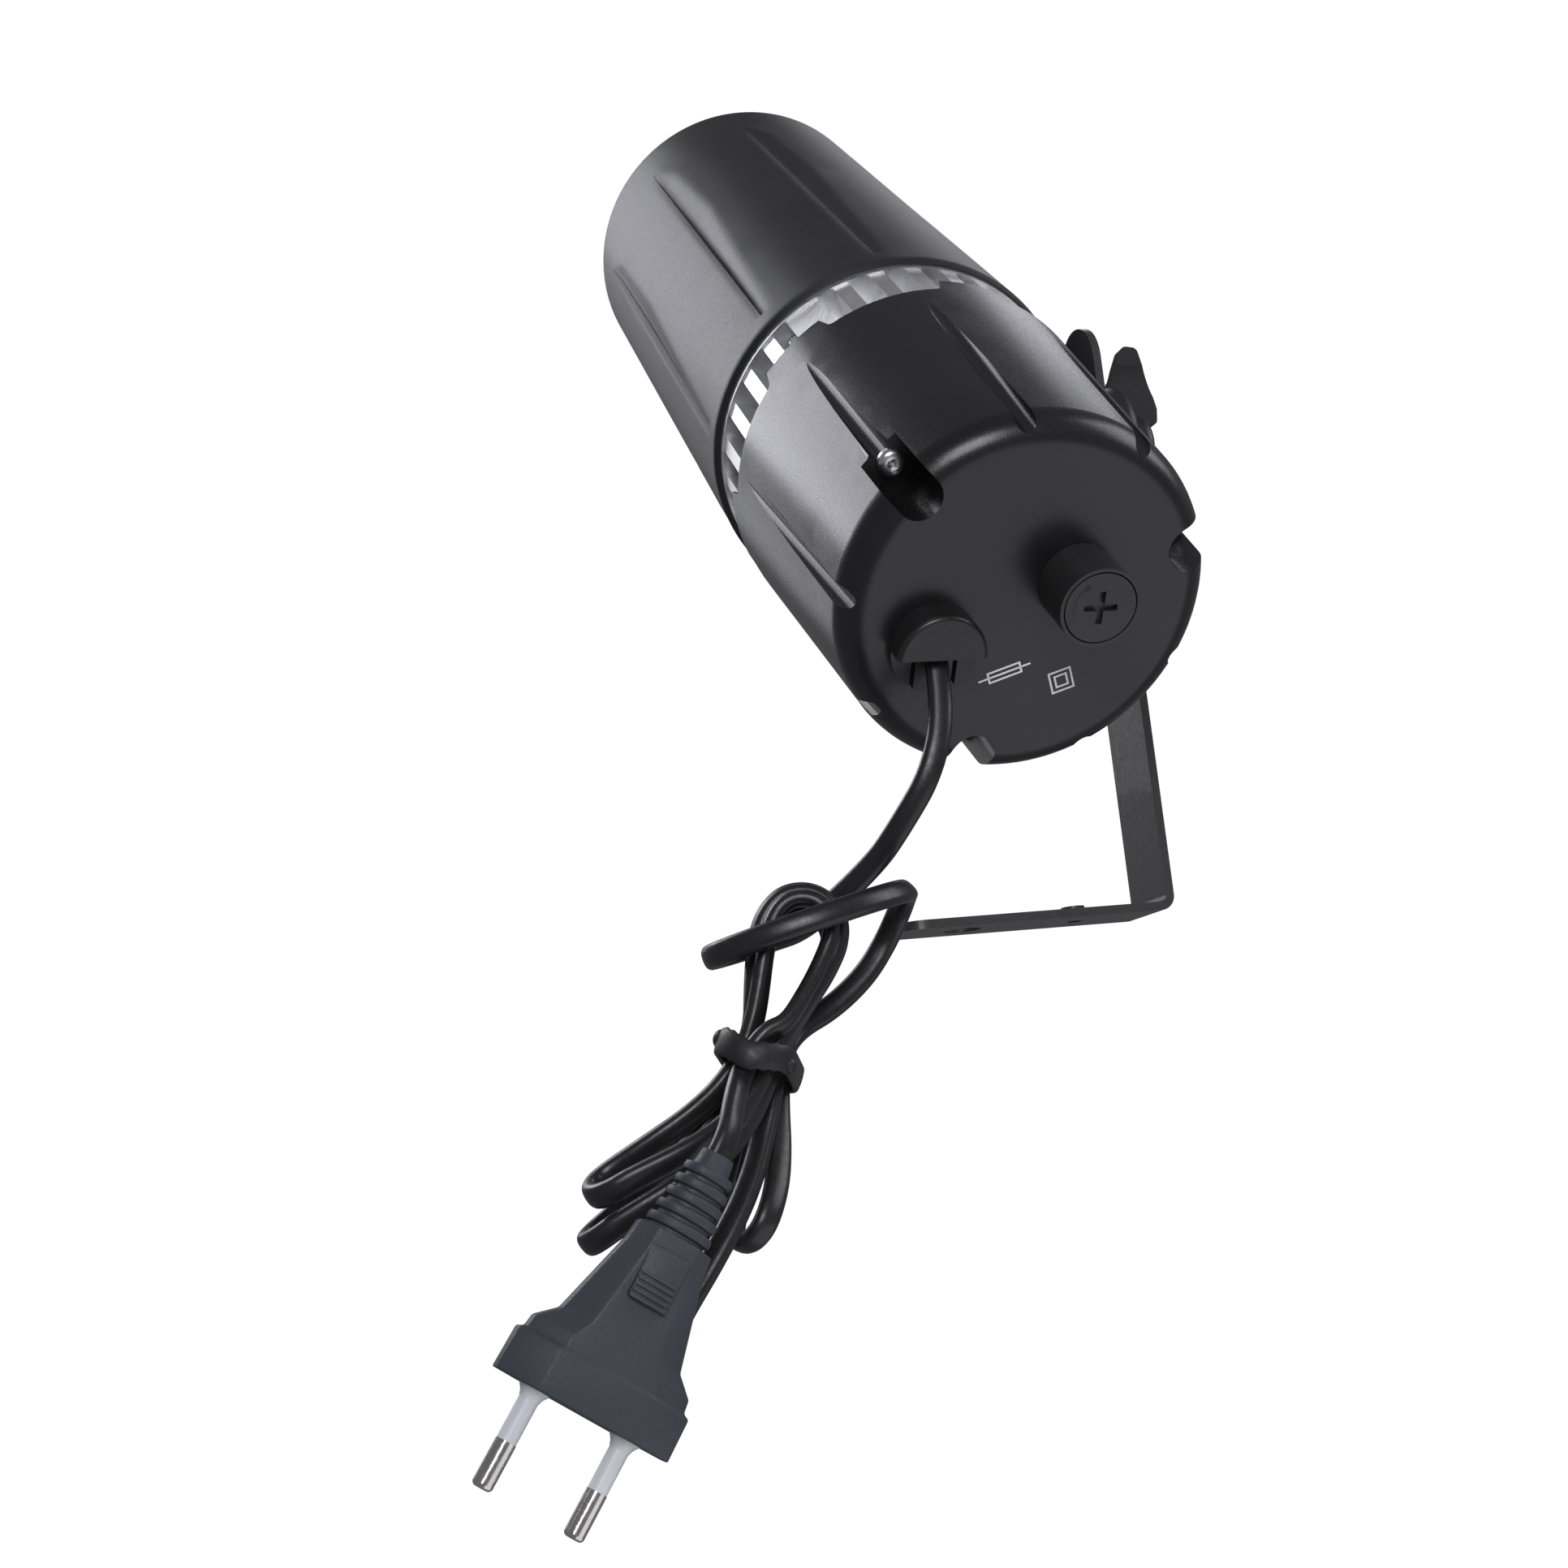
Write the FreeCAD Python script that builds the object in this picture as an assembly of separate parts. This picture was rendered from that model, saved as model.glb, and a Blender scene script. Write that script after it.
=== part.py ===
import FreeCAD, Part
import math
import os

# A pinspot light on a one-armed bracket, with its mains lead tied in a hank. Lengths are in
# millimetres, angles in degrees. The origin is the centre of the mounting hole, on the lower face of
# the bracket's base, with +Z up along the arm and +X towards the arm and the knob.
# The lamp is drawn about its own axis: +Z to the front, the tilt axis along X through its origin.
# Places around the lamp's axis are angles from +X towards +Y of that drawing frame.

# Fits
cut_overrun = 1.0
loose_gap = 0.3
close_gap = 0.1
running_gap = 0.05
touch_overlap = 0.2

# Lamp as a whole
body_diameter = 88.0
shell_wall = 2.4
lamp_tilt_angle = 40.5
rib_count = 9
rib_start_angle = 222.2
screw_count = 3

# Heat-sink ring, centred on the tilt axis
ring_length = 18.5
ring_rim_length = 2.0
ring_rim_inset = 1.4
fin_inset = 2.0
fin_depth = 6.5
fin_angle = 5.0
fin_pitch_angle = 12.0
wide_fin_angle = 12.3
wide_fin_place_angle = 230.85
first_fin_place_angle = 216.2
first_fin_count = 17
second_fin_place_angle = 245.2
second_fin_count = 9
ring_core_wall = 3.0
ring_web_thickness = 4.0
ring_web_setback = 2.0
pivot_boss_radius = 7.0
pivot_boss_reach = 1.8
board_post_radius = 2.5
board_post_circle = 21.0
board_post_count = 3

# Front shell
front_length = 148.6
front_taper = 2.7
mouth_rounding = 5.0
rim_rounding = 1.2
mouth_band = 5.2
lens_seat_depth = 9.0
lens_ledge_length = 2.5
lens_ledge_width = 2.6
band_slope_length = 5.0
flute_depth = 1.3
flute_back_angle = 2.0
flute_end_shares = (0.045, 0.30, 0.55, 0.80, 0.875)
flute_width_angles = (3.5, 6.0, 9.0, 7.0, 1.0)
flute_depth_shares = (0.75, 1.0, 1.0, 0.6, 0.1)
boss_radius = 4.9
boss_length = 14.0

# Lens and light source
lens_edge = 3.5
lens_dome = 4.0
lens_rim_width = 2.2
lens_ring_width = 1.7
lens_ring_length = 3.0
led_board_radius = 14.0
board_thickness = 1.6
emitter_side = 5.0
emitter_height = 1.0
optic_foot_radius = 5.6
optic_radius = 10.0
optic_height = 12.0
optic_wall = 1.2

# Rear shell
rear_rim_inset = 0.3
rear_length = 72.0
rear_gap = 2.5
rear_taper = 3.5
rear_rounding = 7.0
rear_wall = 2.6
rear_core_taper = 5.2
tab_height = 4.7
tab_count = 6
tab_angle = 25.0
tab_place_angle = 221.7
tab_slope = 1.6
tab_rounding = 1.2
groove_radius = 2.2
groove_start = 28.0
groove_rise_share = 0.045
notch_half_width = 4.9
notch_inset = 8.0
notch_length = 18.0
notch_floor = 2.4
notch_wall = 2.2

# Shell screws
screw_radius = 1.5
screw_inset = 7.0
screw_grip_length = 8.0
screw_head_radius = 3.0
screw_head_height = 2.3
screw_hole_gap = 0.2

# Electronics in the rear shell
driver_radius = 25.0
driver_setback = 13.0
transformer_length = 20.0
transformer_width = 16.0
transformer_height = 15.0
transformer_offset = 8.0
capacitor_radius = 5.0
capacitor_height = 17.0
capacitor_offset = 12.0
capacitor_spread = 6.5

# Fuse holder, its place from the axis of the lamp in shares of the body's radius
fuse_side_share = 0.2273
fuse_rise_share = -0.1068
holder_radius = 8.7
holder_reach = 12.6
holder_wall = 0.75
holder_neck_radius = 6.3
holder_depth = 30.0
holder_bore_radius = 4.6
nut_radius = 8.6
nut_sides = 6
nut_thickness = 3.0
cap_thickness = 5.5
cap_slot_length = 7.2
cap_slot_width = 1.4
cap_slot_depth = 1.2
carrier_radius = 4.2
carrier_length = 29.0
carrier_window_length = 16.0
fuse_radius = 2.5
fuse_length = 20.0
fuse_end_length = 5.0
fuse_end_wall = 0.25

# Cord grip, its place in shares too
grip_side_share = -0.4545
grip_rise_share = 0.1932
grip_radius = 9.7
grip_flange = 2.0
grip_hood_height = 5.0
grip_hood_wall = 2.6
grip_hood_rounding = 1.2
grip_neck_radius = 6.4
grip_neck_length = 9.0
grip_slot_width = 1.0
grip_slot_setoff = 2.4
cord_exit_angle = 40.0
cord_exit_depth = 1.6

# Bracket
strap_width = 20.0
strap_thickness = 2.0
strap_bend_radius = 1.5
pivot_height = 113.7
arm_overhang = 30.0
washer_thickness = 0.8
base_reach = 17.3
base_corner_radius = 6.0
mount_hole_radius = 4.25
collar_radius = 2.7
collar_height = 1.4
collar_hole_radius = 1.65
collar_place = 27.5
bolt_hole_radius = 3.25

# Wing knob and its bolt
bolt_radius = 3.0
bolt_in_ring = 12.0
bolt_in_knob = 9.0
knob_base_radius = 14.5
knob_base_height = 6.0
knob_base_rounding = 2.5
knob_hub_radius = 7.5
wing_height = 16.3
wing_half_span = 25.6
wing_rounding = 1.6
wing_root_thickness = 6.0
wing_tip_thickness = 3.8
wing_scoop_radius = 16.0
wing_scoop_depth = 0.7
wing_scoop_place = 17.0
wing_outline_shares = (
    (0.20, 0.50), (0.33, 0.625), (0.589, 1.0), (0.822, 0.98),
    (1.0, 0.36), (0.97, 0.21), (0.85, 0.19), (0.80, 0.0),
)

# Mains cord, a round cord in place of the flat twin cord. Its places are steps along X, Y and Z
# from where it leaves its grip.
cord_diameter = 4.2
strand_gap = 0.9
cord_first_run = 13.0
cord_bends = ((-4.5, -3.0, -26.6), (-11.0, 2.0, -36.6))
cord_lead_end = (-15.2, 8.0, -43.0)

# Hank of the cord: loops about a waist, its axis leaning from the vertical in the XZ plane.
# Sides run to the right of its axis, heights up it from the waist, depths along Y.
hank_waist = (-45.3, 1.5, -80.9)
hank_lean_angle = 24.2
loop_count = 4
fold_reaches = (34.5, 55.5, 44.7, 36.6)
fold_places = (8.8, 0.2, -17.8, -20.9)
fold_radius = 6.0
arch_reaches = (34.0, 37.0, 35.5, 33.0)
arch_radii = (7.0, 8.5, 8.0, 6.0)
twist_low = -56.0
twist_high = 14.0
twist_start_angle = -12.0
twist_turn_angle = 90.0

# One turn of the cord round the neck of the hank, its way down the right side to the waist, and
# the end of its tail in front of the loops
wrap_middle = (1.7, 29.5, 2.4)
wrap_half_width = 21.5
wrap_half_depth = 15.0
wrap_slope_angle = 37.7
wrap_start_angle = 80.0
wrap_steps = 6
side_strand = (
    (20.4, 40.0, 9.4), (20.3, 33.5, 12.8), (18.3, 25.5, 13.0), (13.6, 17.0, 12.6), (7.6, 10.4, 11.6),
)
tail_strand = ((-5.4, -11.5, -14.4),)
tail_end = (-6.0, -22.0, -18.5)

# Tie round the waist of the hank
tie_height = 7.0
tie_wall = 1.2
tie_half_length = 14.0
tie_half_width = 6.4
waist_run = 4.0

# Plug, a flat two-pin mains plug with a ribbed boot; its sections are place, width and thickness
plug_lean_angle = 35.0
boot_length = 17.0
boot_ribs = 5
boot_rib_depth = 1.0
boot_width = 9.0
boot_growth = 4.0
boot_thickness = 8.0
plug_sections = ((0.0, 15.0, 11.0), (21.0, 24.6, 12.5), (26.0, 35.3, 13.7), (35.0, 35.3, 13.7))
plug_rounding = 2.5
pin_radius = 2.0
pin_length = 19.0
pin_spacing = 18.6
pin_tip_rounding = 1.4
pin_root = 6.0
sleeve_length = 10.0
sleeve_radius = 1.9
sleeve_wall = 0.4

V = FreeCAD.Vector
UP = V(0, 0, 1)
ALONG_X = V(1, 0, 0)
ORIGIN = V(0, 0, 0)

# Shares and steps of rounded corners and of the cord's path
corner_share = 0.45
half_share = 0.5
fan_share = 1.6
share_step = 0.01
straight_share = 0.000001
gap_step = 1.0
near_diameters = 3.5

# Sizes that follow from the values above
shell_radius = body_diameter / 2
fuse_x = fuse_side_share * shell_radius
fuse_y = fuse_rise_share * shell_radius
grip_x = grip_side_share * shell_radius
grip_y = grip_rise_share * shell_radius
screw_circle = shell_radius - screw_inset
notch_circle = shell_radius - notch_inset
ring_front = ring_length / 2
ring_rear = -ring_length / 2
rim_radius = shell_radius - ring_rim_inset
fin_radius = shell_radius - fin_inset
core_radius = fin_radius - fin_depth
core_bore = core_radius - ring_core_wall
web_front = ring_front - ring_web_setback
web_rear = web_front - ring_web_thickness
boss_face = shell_radius + pivot_boss_reach
mouth = ring_front + front_length
mouth_radius = shell_radius - front_taper
lens_floor = mouth - lens_seat_depth
lens_seat_radius = mouth_radius - mouth_band
rear_edge_radius = shell_radius - rear_rim_inset
rear_start = ring_rear - rear_gap
rear_face = rear_start - rear_length
shoulder = rear_face + notch_length
driver_face = ring_rear - driver_setback
arm_inner = boss_face + washer_thickness
arm_outer = arm_inner + strap_thickness
cord_radius = cord_diameter / 2
waist_spread = (cord_diameter + strand_gap) / 2
plug_length = plug_sections[-1][0]


def polar(radius, angle, z=0):
    turn = math.radians(angle)
    return V(radius * math.cos(turn), radius * math.sin(turn), z)


def spun(shape, angle):
    copy = shape.copy()
    copy.rotate(ORIGIN, UP, angle)
    return copy


def moved(shape, offset):
    copy = shape.copy()
    copy.translate(offset)
    return copy


def rod(radius, start, end, x=0, y=0):
    return Part.makeCylinder(radius, end - start, V(x, y, start))


def tube(outer, inner, start, end, x=0, y=0):
    low, high = start - cut_overrun, end + cut_overrun
    return rod(outer, start, end, x, y).cut(rod(inner, low, high, x, y))


def joined(shapes):
    return shapes[0].multiFuse(shapes[1:])


def straight(start, end):
    return Part.LineSegment(start, end).toShape()


def corner_arc(before, corner, after, radius):
    # the arc that rounds one corner, no larger than its two sides allow
    to_before, to_after = (before - corner), (after - corner)
    half = math.pi / 2 - to_before.getAngle(to_after) / 2
    room = corner_share * min(to_before.Length, to_after.Length)
    reach = min(radius * math.tan(half), room)
    to_before.normalize()
    to_after.normalize()
    start, end = corner + to_before * reach, corner + to_after * reach
    middle = (start + end) * 0.5
    height = (end - start).Length / 2
    inward = corner - middle
    inward.normalize()
    crown = middle + inward * (height * math.tan(half / 2))
    return Part.Arc(start, crown, end).toShape(), start, end


def rounded_face(points, radius):
    # a flat face whose outline runs through the points, each corner rounded
    count = len(points)
    arcs = [corner_arc(points[i - 1], points[i], points[(i + 1) % count], radius) for i in range(count)]
    edges = []
    for i, (arc, start, end) in enumerate(arcs):
        following = arcs[(i + 1) % count][1]
        edges.append(arc)
        edges.append(straight(end, following))
    return Part.Face(Part.Wire(edges))


def turned(points):
    # a solid of revolution about Z from (radius, z) points, where a third value rounds a corner
    flat = [V(p[0], 0, p[1]) for p in points]
    count = len(flat)
    edges, ends = [], []
    for i, point in enumerate(points):
        if len(point) > 2:
            arc, start, end = corner_arc(flat[i - 1], flat[i], flat[(i + 1) % count], point[2])
            ends.append((start, end, arc))
        else:
            ends.append((flat[i], flat[i], None))
    for i, (start, end, arc) in enumerate(ends):
        following = ends[(i + 1) % count][0]
        if arc:
            edges.append(arc)
        edges.append(straight(end, following))
    return Part.Face(Part.Wire(edges)).revolve(ORIGIN, UP, 360)


def rib_angles():
    return [rib_start_angle - 360 / rib_count * k for k in range(rib_count)]


def screw_angles():
    return [rib_start_angle - 360 / screw_count * k for k in range(screw_count)]


def sector(inner, outer, angle, place, start, end):
    # a block between two radii, as wide as the angle, like one fin
    half = angle / 2
    corners = [
        polar(inner, place - half, start), polar(outer, place - half, start),
        polar(outer, place + half, start), polar(inner, place + half, start),
    ]
    return Part.Face(Part.makePolygon(corners + corners[:1])).extrude(V(0, 0, end - start))


def heat_sink():
    root = core_radius - touch_overlap
    rim_rear = ring_front - ring_rim_length
    fin_end = rim_rear + touch_overlap
    core = turned([
        (core_bore, ring_rear), (core_radius, ring_rear), (core_radius, rim_rear), (rim_radius, rim_rear),
        (rim_radius, ring_front), (core_bore, ring_front), (core_bore, web_front), (0, web_front),
        (0, web_rear), (core_bore, web_rear),
    ])
    parts = [core, sector(root, fin_radius, wide_fin_angle, wide_fin_place_angle, ring_rear, fin_end)]
    places = [first_fin_place_angle - fin_pitch_angle * k for k in range(first_fin_count)]
    places += [second_fin_place_angle + fin_pitch_angle * k for k in range(second_fin_count)]
    parts += [sector(root, fin_radius, fin_angle, place, ring_rear, fin_end) for place in places]
    root = core_radius - ring_core_wall / 2
    parts.append(Part.makeCylinder(pivot_boss_radius, boss_face - root, V(root, 0, 0), ALONG_X))
    for k in range(board_post_count):
        at = polar(board_post_circle, 360 / board_post_count * k)
        parts.append(rod(board_post_radius, driver_face, web_rear + touch_overlap, at.x, at.y))
    bolt_bore = bolt_radius + running_gap
    bolt_start = V(boss_face - bolt_in_ring, 0, 0)
    tools = [Part.makeCylinder(bolt_bore, bolt_in_ring + cut_overrun, bolt_start, ALONG_X)]
    for angle in screw_angles():
        at = polar(screw_circle, angle)
        hole = screw_radius + screw_hole_gap
        tools.append(rod(hole, ring_rear - cut_overrun, ring_front + cut_overrun, at.x, at.y))
    return joined(parts).cut(tools)


def front_radius(z):
    # outer radius of the front shell at a place along the lamp
    return shell_radius - front_taper * (z - ring_front) / front_length


def flute(place):
    # a shallow leaf-shaped cut: one steep side, one side that fades into the shell
    sections = []
    for share, width, depth_share in zip(flute_end_shares, flute_width_angles, flute_depth_shares):
        z = ring_front + share * front_length
        radius = front_radius(z)
        crease = polar(radius - flute_depth * depth_share, place - flute_back_angle, z)
        edge = polar(radius, place - flute_back_angle + width, z)
        outer_edge = edge + (edge - crease) * half_share
        outer_back = polar(radius + cut_overrun, place - flute_back_angle, z)
        sections.append(Part.makePolygon([crease, outer_edge, outer_back, crease]))
    return Part.makeLoft(sections, True, True)


def front_shell():
    bore_rear = shell_radius - shell_wall
    bore_front = mouth_radius - shell_wall
    ledge = lens_seat_radius - lens_ledge_width
    ledge_rear = lens_floor - lens_ledge_length
    shell = turned([
        (bore_rear, ring_front), (shell_radius, ring_front, rim_rounding),
        (mouth_radius, mouth, mouth_rounding), (lens_seat_radius, mouth), (lens_seat_radius, lens_floor),
        (ledge, lens_floor), (ledge, ledge_rear), (bore_front, ledge_rear - band_slope_length),
    ])
    bosses, bores = [], []
    for angle in screw_angles():
        at = polar(screw_circle, angle)
        bosses.append(rod(boss_radius, ring_front, ring_front + boss_length, at.x, at.y))
        bore = screw_radius + running_gap
        bores.append(rod(bore, ring_front - cut_overrun, ring_front + boss_length - shell_wall, at.x, at.y))
    shell = joined([shell] + bosses)
    return shell.cut(bores + [flute(angle) for angle in rib_angles()])


def lens_radius():
    return lens_seat_radius - close_gap


def front_lens():
    edge_top = lens_floor + lens_edge
    dome_radius = lens_radius() - lens_rim_width
    ball = (dome_radius ** 2 + lens_dome ** 2) / (2 * lens_dome)
    dome = Part.makeSphere(ball, V(0, 0, edge_top + lens_dome - ball))
    dome = dome.common(rod(dome_radius, edge_top - touch_overlap, edge_top + lens_dome + cut_overrun))
    return joined([rod(lens_radius(), lens_floor, edge_top), dome])


def lens_ring():
    start = lens_floor + lens_edge
    return tube(lens_radius(), lens_radius() - lens_ring_width, start, start + lens_ring_length)


def led_board():
    return rod(led_board_radius, web_front, web_front + board_thickness)


def led_emitter():
    half = emitter_side / 2
    floor = web_front + board_thickness
    chip = Part.makeBox(emitter_side, emitter_side, emitter_height, V(-half, -half, floor))
    dome = Part.makeSphere(half, V(0, 0, floor + emitter_height))
    dome = dome.common(rod(half, floor + emitter_height - touch_overlap, floor + emitter_side))
    return joined([chip, dome])


def led_optic():
    # a cup-shaped collimator that stands on the board over the emitter
    floor = web_front + board_thickness
    bore = optic_foot_radius - optic_wall
    return turned([
        (bore, floor), (optic_foot_radius, floor), (optic_radius, floor + optic_height),
        (0, floor + optic_height), (0, floor + emitter_side), (bore, floor + emitter_side),
    ])


def rear_profile_radius(z):
    return rear_edge_radius - rear_taper * (rear_start - z) / rear_length


def tab_windows():
    # the openings between the tabs of the rear shell's front edge
    span = 360 / tab_count - tab_angle
    windows = []
    for k in range(tab_count):
        place = tab_place_angle + 360 / tab_count * (k + half_share)
        half = rear_edge_radius * math.sin(math.radians(span / 2))
        top = rear_start + tab_height + cut_overrun
        start = core_radius
        points = [
            V(start, -half - tab_slope, top), V(start, half + tab_slope, top),
            V(start, half, rear_start), V(start, -half, rear_start),
        ]
        block = rounded_face(points, tab_rounding).extrude(V(shell_radius - start + cut_overrun, 0, 0))
        windows.append(spun(block, place))
    return windows


def rear_groove(angle):
    # a round cutter that sinks deeper towards the rear and runs out over the rear rounding
    start = ring_front - groove_start
    slope = groove_rise_share + rear_taper / rear_length
    lean = math.degrees(math.atan(slope))
    cutter = Part.makeCylinder(groove_radius, start - rear_face)
    cutter.rotate(ORIGIN, V(0, 1, 0), 180 + lean)
    cutter.translate(V(rear_profile_radius(start) + groove_radius, 0, start))
    return spun(cutter, angle)


def notch(angle):
    # the open channel that leads a screw and its driver in from the rear
    low = rear_face - cut_overrun
    channel = rod(notch_half_width, low, shoulder, notch_circle)
    reach = shell_radius - notch_circle + cut_overrun
    slot = Part.makeBox(reach, 2 * notch_half_width, shoulder - low, V(notch_circle, -notch_half_width, low))
    return spun(joined([channel, slot]), angle)


def rear_shell():
    front = rear_start + tab_height
    edge = rear_profile_radius(front)
    bore = fin_radius + loose_gap
    rebate = rear_start - rear_gap
    inside = rear_face + rear_wall
    inside_radius = rear_edge_radius - shell_wall - rear_core_taper
    back_radius = rear_edge_radius - rear_taper
    body = turned([
        (bore, front), (edge, front), (back_radius, rear_face, rear_rounding), (0, rear_face), (0, inside),
        (inside_radius, inside, rear_rounding - rear_wall), (edge - shell_wall, rebate), (bore, rebate),
    ])
    outer = turned([(edge, front), (back_radius, rear_face, rear_rounding), (0, rear_face), (0, front)])
    pillars, tools = [], []
    for angle in screw_angles():
        seat = polar(notch_circle, angle)
        at = polar(screw_circle, angle)
        wide = rod(notch_half_width + notch_wall, rear_face, shoulder + notch_floor, seat.x, seat.y)
        slim = rod(boss_radius, shoulder, ring_rear, at.x, at.y)
        slim = slim.cut(tube(shell_radius, bore, rear_start, front + cut_overrun))
        pillars += [wide.common(outer), slim]
        hole = screw_radius + screw_hole_gap
        tools += [notch(angle), rod(hole, shoulder - cut_overrun, front + cut_overrun, at.x, at.y)]
    tools += [rear_groove(angle) for angle in rib_angles()]
    tools += tab_windows()
    wall_end = inside + cut_overrun
    tools.append(rod(holder_neck_radius + close_gap, rear_face - cut_overrun, wall_end, fuse_x, fuse_y))
    tools.append(rod(grip_neck_radius + close_gap, rear_face - cut_overrun, wall_end, grip_x, grip_y))
    return joined([body] + pillars).cut(tools)


def shell_screws():
    top = shoulder - screw_head_height
    head = turned([
        (0, shoulder), (screw_head_radius, shoulder), (screw_head_radius, top, screw_head_height), (0, top),
    ])
    screw = joined([head, rod(screw_radius, shoulder - touch_overlap, ring_front + screw_grip_length)])
    return Part.makeCompound([moved(screw, polar(screw_circle, angle)) for angle in screw_angles()])


def driver_board():
    return rod(driver_radius, driver_face - board_thickness, driver_face)


def transformer():
    floor = driver_face - board_thickness - transformer_height
    corner = V(-transformer_length / 2, -transformer_offset - transformer_width / 2, floor)
    return Part.makeBox(transformer_length, transformer_width, transformer_height, corner)


def capacitors():
    floor = driver_face - board_thickness
    cans = [
        rod(capacitor_radius, floor - capacitor_height, floor, side * capacitor_spread, capacitor_offset)
        for side in (-1, 1)
    ]
    return Part.makeCompound(cans)


def fuse_holder():
    front = rear_face - holder_reach
    rear = rear_face + holder_depth
    shape = joined([
        rod(holder_radius, front, rear_face, fuse_x, fuse_y),
        rod(holder_neck_radius, rear_face - touch_overlap, rear, fuse_x, fuse_y),
    ])
    mouth_end = front + cap_thickness + loose_gap
    tools = [
        rod(holder_radius - holder_wall, front - cut_overrun, mouth_end, fuse_x, fuse_y),
        rod(holder_bore_radius, front, rear - shell_wall, fuse_x, fuse_y),
    ]
    return shape.cut(tools)


def fuse_holder_nut():
    start = rear_face + rear_wall
    end = start + nut_thickness
    corners = [polar(nut_radius, 360 / nut_sides * k) + V(fuse_x, fuse_y, start) for k in range(nut_sides)]
    nut = Part.Face(Part.makePolygon(corners + corners[:1])).extrude(V(0, 0, nut_thickness))
    bore = holder_neck_radius + close_gap
    return nut.cut(rod(bore, start - cut_overrun, end + cut_overrun, fuse_x, fuse_y))


def cap_rear():
    return rear_face - holder_reach + cap_thickness


def fuse_carrier():
    start = cap_rear()
    end = start + carrier_length
    body = rod(carrier_radius, start, end, fuse_x, fuse_y)
    bore = rod(fuse_radius + close_gap, end - fuse_length, end + cut_overrun, fuse_x, fuse_y)
    middle = end - fuse_length / 2
    width = 2 * fuse_radius
    corner = V(fuse_x - width / 2, fuse_y, middle - carrier_window_length / 2)
    window = Part.makeBox(width, carrier_radius + cut_overrun, carrier_window_length, corner)
    return body.cut([bore, window])


def fuse_span():
    end = cap_rear() + carrier_length
    return end - fuse_length, end


def fuse_tube():
    start, end = fuse_span()
    radius = fuse_radius - fuse_end_wall
    return rod(radius, start + fuse_end_wall, end - fuse_end_wall, fuse_x, fuse_y)


def fuse_ends():
    start, end = fuse_span()
    outer = rod(fuse_radius, start, end, fuse_x, fuse_y)
    low, high = start + fuse_end_length, end - fuse_end_length
    return outer.cut([fuse_tube(), rod(fuse_radius + cut_overrun, low, high, fuse_x, fuse_y)])


def fuse_cap():
    front = rear_face - holder_reach
    radius = holder_radius - holder_wall - loose_gap
    cap = rod(radius, front, cap_rear(), fuse_x, fuse_y)
    length, width, depth = cap_slot_length, cap_slot_width, cap_slot_depth + cut_overrun
    low = front - cut_overrun
    slots = [
        Part.makeBox(length, width, depth, V(fuse_x - length / 2, fuse_y - width / 2, low)),
        Part.makeBox(width, length, depth, V(fuse_x - width / 2, fuse_y - length / 2, low)),
    ]
    return cap.cut(slots)


def lamp_point(x, y, z):
    # a place of the lamp's drawing frame in the frame of the whole part
    return lamp_placement().multVec(V(x, y, z))


def lamp_placement():
    return FreeCAD.Placement(V(0, 0, pivot_height), FreeCAD.Rotation(ALONG_X, lamp_tilt_angle - 90))


def cord_exit():
    # where the cord leaves its grip, and its direction, in the lamp's drawing frame
    lean = math.radians(cord_exit_angle)
    direction = V(0, math.sin(lean), -math.cos(lean))
    return V(grip_x, grip_y, rear_face - grip_flange + cord_exit_depth), direction


def strain_relief():
    top = rear_face - grip_flange
    hood_top = top - grip_hood_height
    flange = rod(grip_radius, top, rear_face, grip_x, grip_y)
    neck = rod(grip_neck_radius, rear_face - touch_overlap, rear_face + grip_neck_length, grip_x, grip_y)
    hood = rod(grip_radius, hood_top, top + touch_overlap, grip_x, grip_y)
    rim = [edge for edge in hood.Edges if abs(edge.BoundBox.ZMax - hood_top) < running_gap and edge.Closed]
    hood = hood.makeFillet(grip_hood_rounding, rim)
    hollow = rod(grip_radius - grip_hood_wall, hood_top + grip_hood_wall, top, grip_x, grip_y)
    reach = grip_radius + cut_overrun
    corner = V(grip_x - reach, grip_y, hood_top - cut_overrun)
    open_side = Part.makeBox(2 * reach, reach, grip_hood_height + cut_overrun, corner)
    seat, way = cord_exit()
    tools = [Part.makeCylinder(cord_radius + loose_gap, 2 * grip_radius, seat, way)]
    for side in (-1, 1):
        start = grip_x + side * (cord_radius + grip_slot_setoff) - grip_slot_width / 2
        corner = V(start, grip_y + cord_radius, top - cut_overrun)
        tools.append(Part.makeBox(grip_slot_width, grip_radius, grip_flange + cut_overrun, corner))
    return joined([flange, neck, hood.cut([hollow, open_side])]).cut(tools)


def strap_profile():
    # the side view of the bent strap, on the near edge of its width
    half = strap_width / 2
    outer_bend = strap_bend_radius + strap_thickness
    turn = math.cos(math.pi / 4)
    centre = V(arm_inner - strap_bend_radius, -half, strap_thickness + strap_bend_radius)
    inner = [centre + way * strap_bend_radius for way in (-UP, V(turn, 0, -turn), ALONG_X)]
    outer = [centre + way * outer_bend for way in (ALONG_X, V(turn, 0, -turn), -UP)]
    low, tip = V(-base_reach, -half, 0), V(-base_reach, -half, strap_thickness)
    arm_end = pivot_height + arm_overhang - half
    near_end, far_end = V(arm_inner, -half, arm_end), V(arm_outer, -half, arm_end)
    return Part.Wire([
        straight(low, tip), straight(tip, inner[0]), Part.Arc(*inner).toShape(),
        straight(inner[2], near_end), straight(near_end, far_end), straight(far_end, outer[0]),
        Part.Arc(*outer).toShape(), straight(outer[2], low),
    ])


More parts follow.
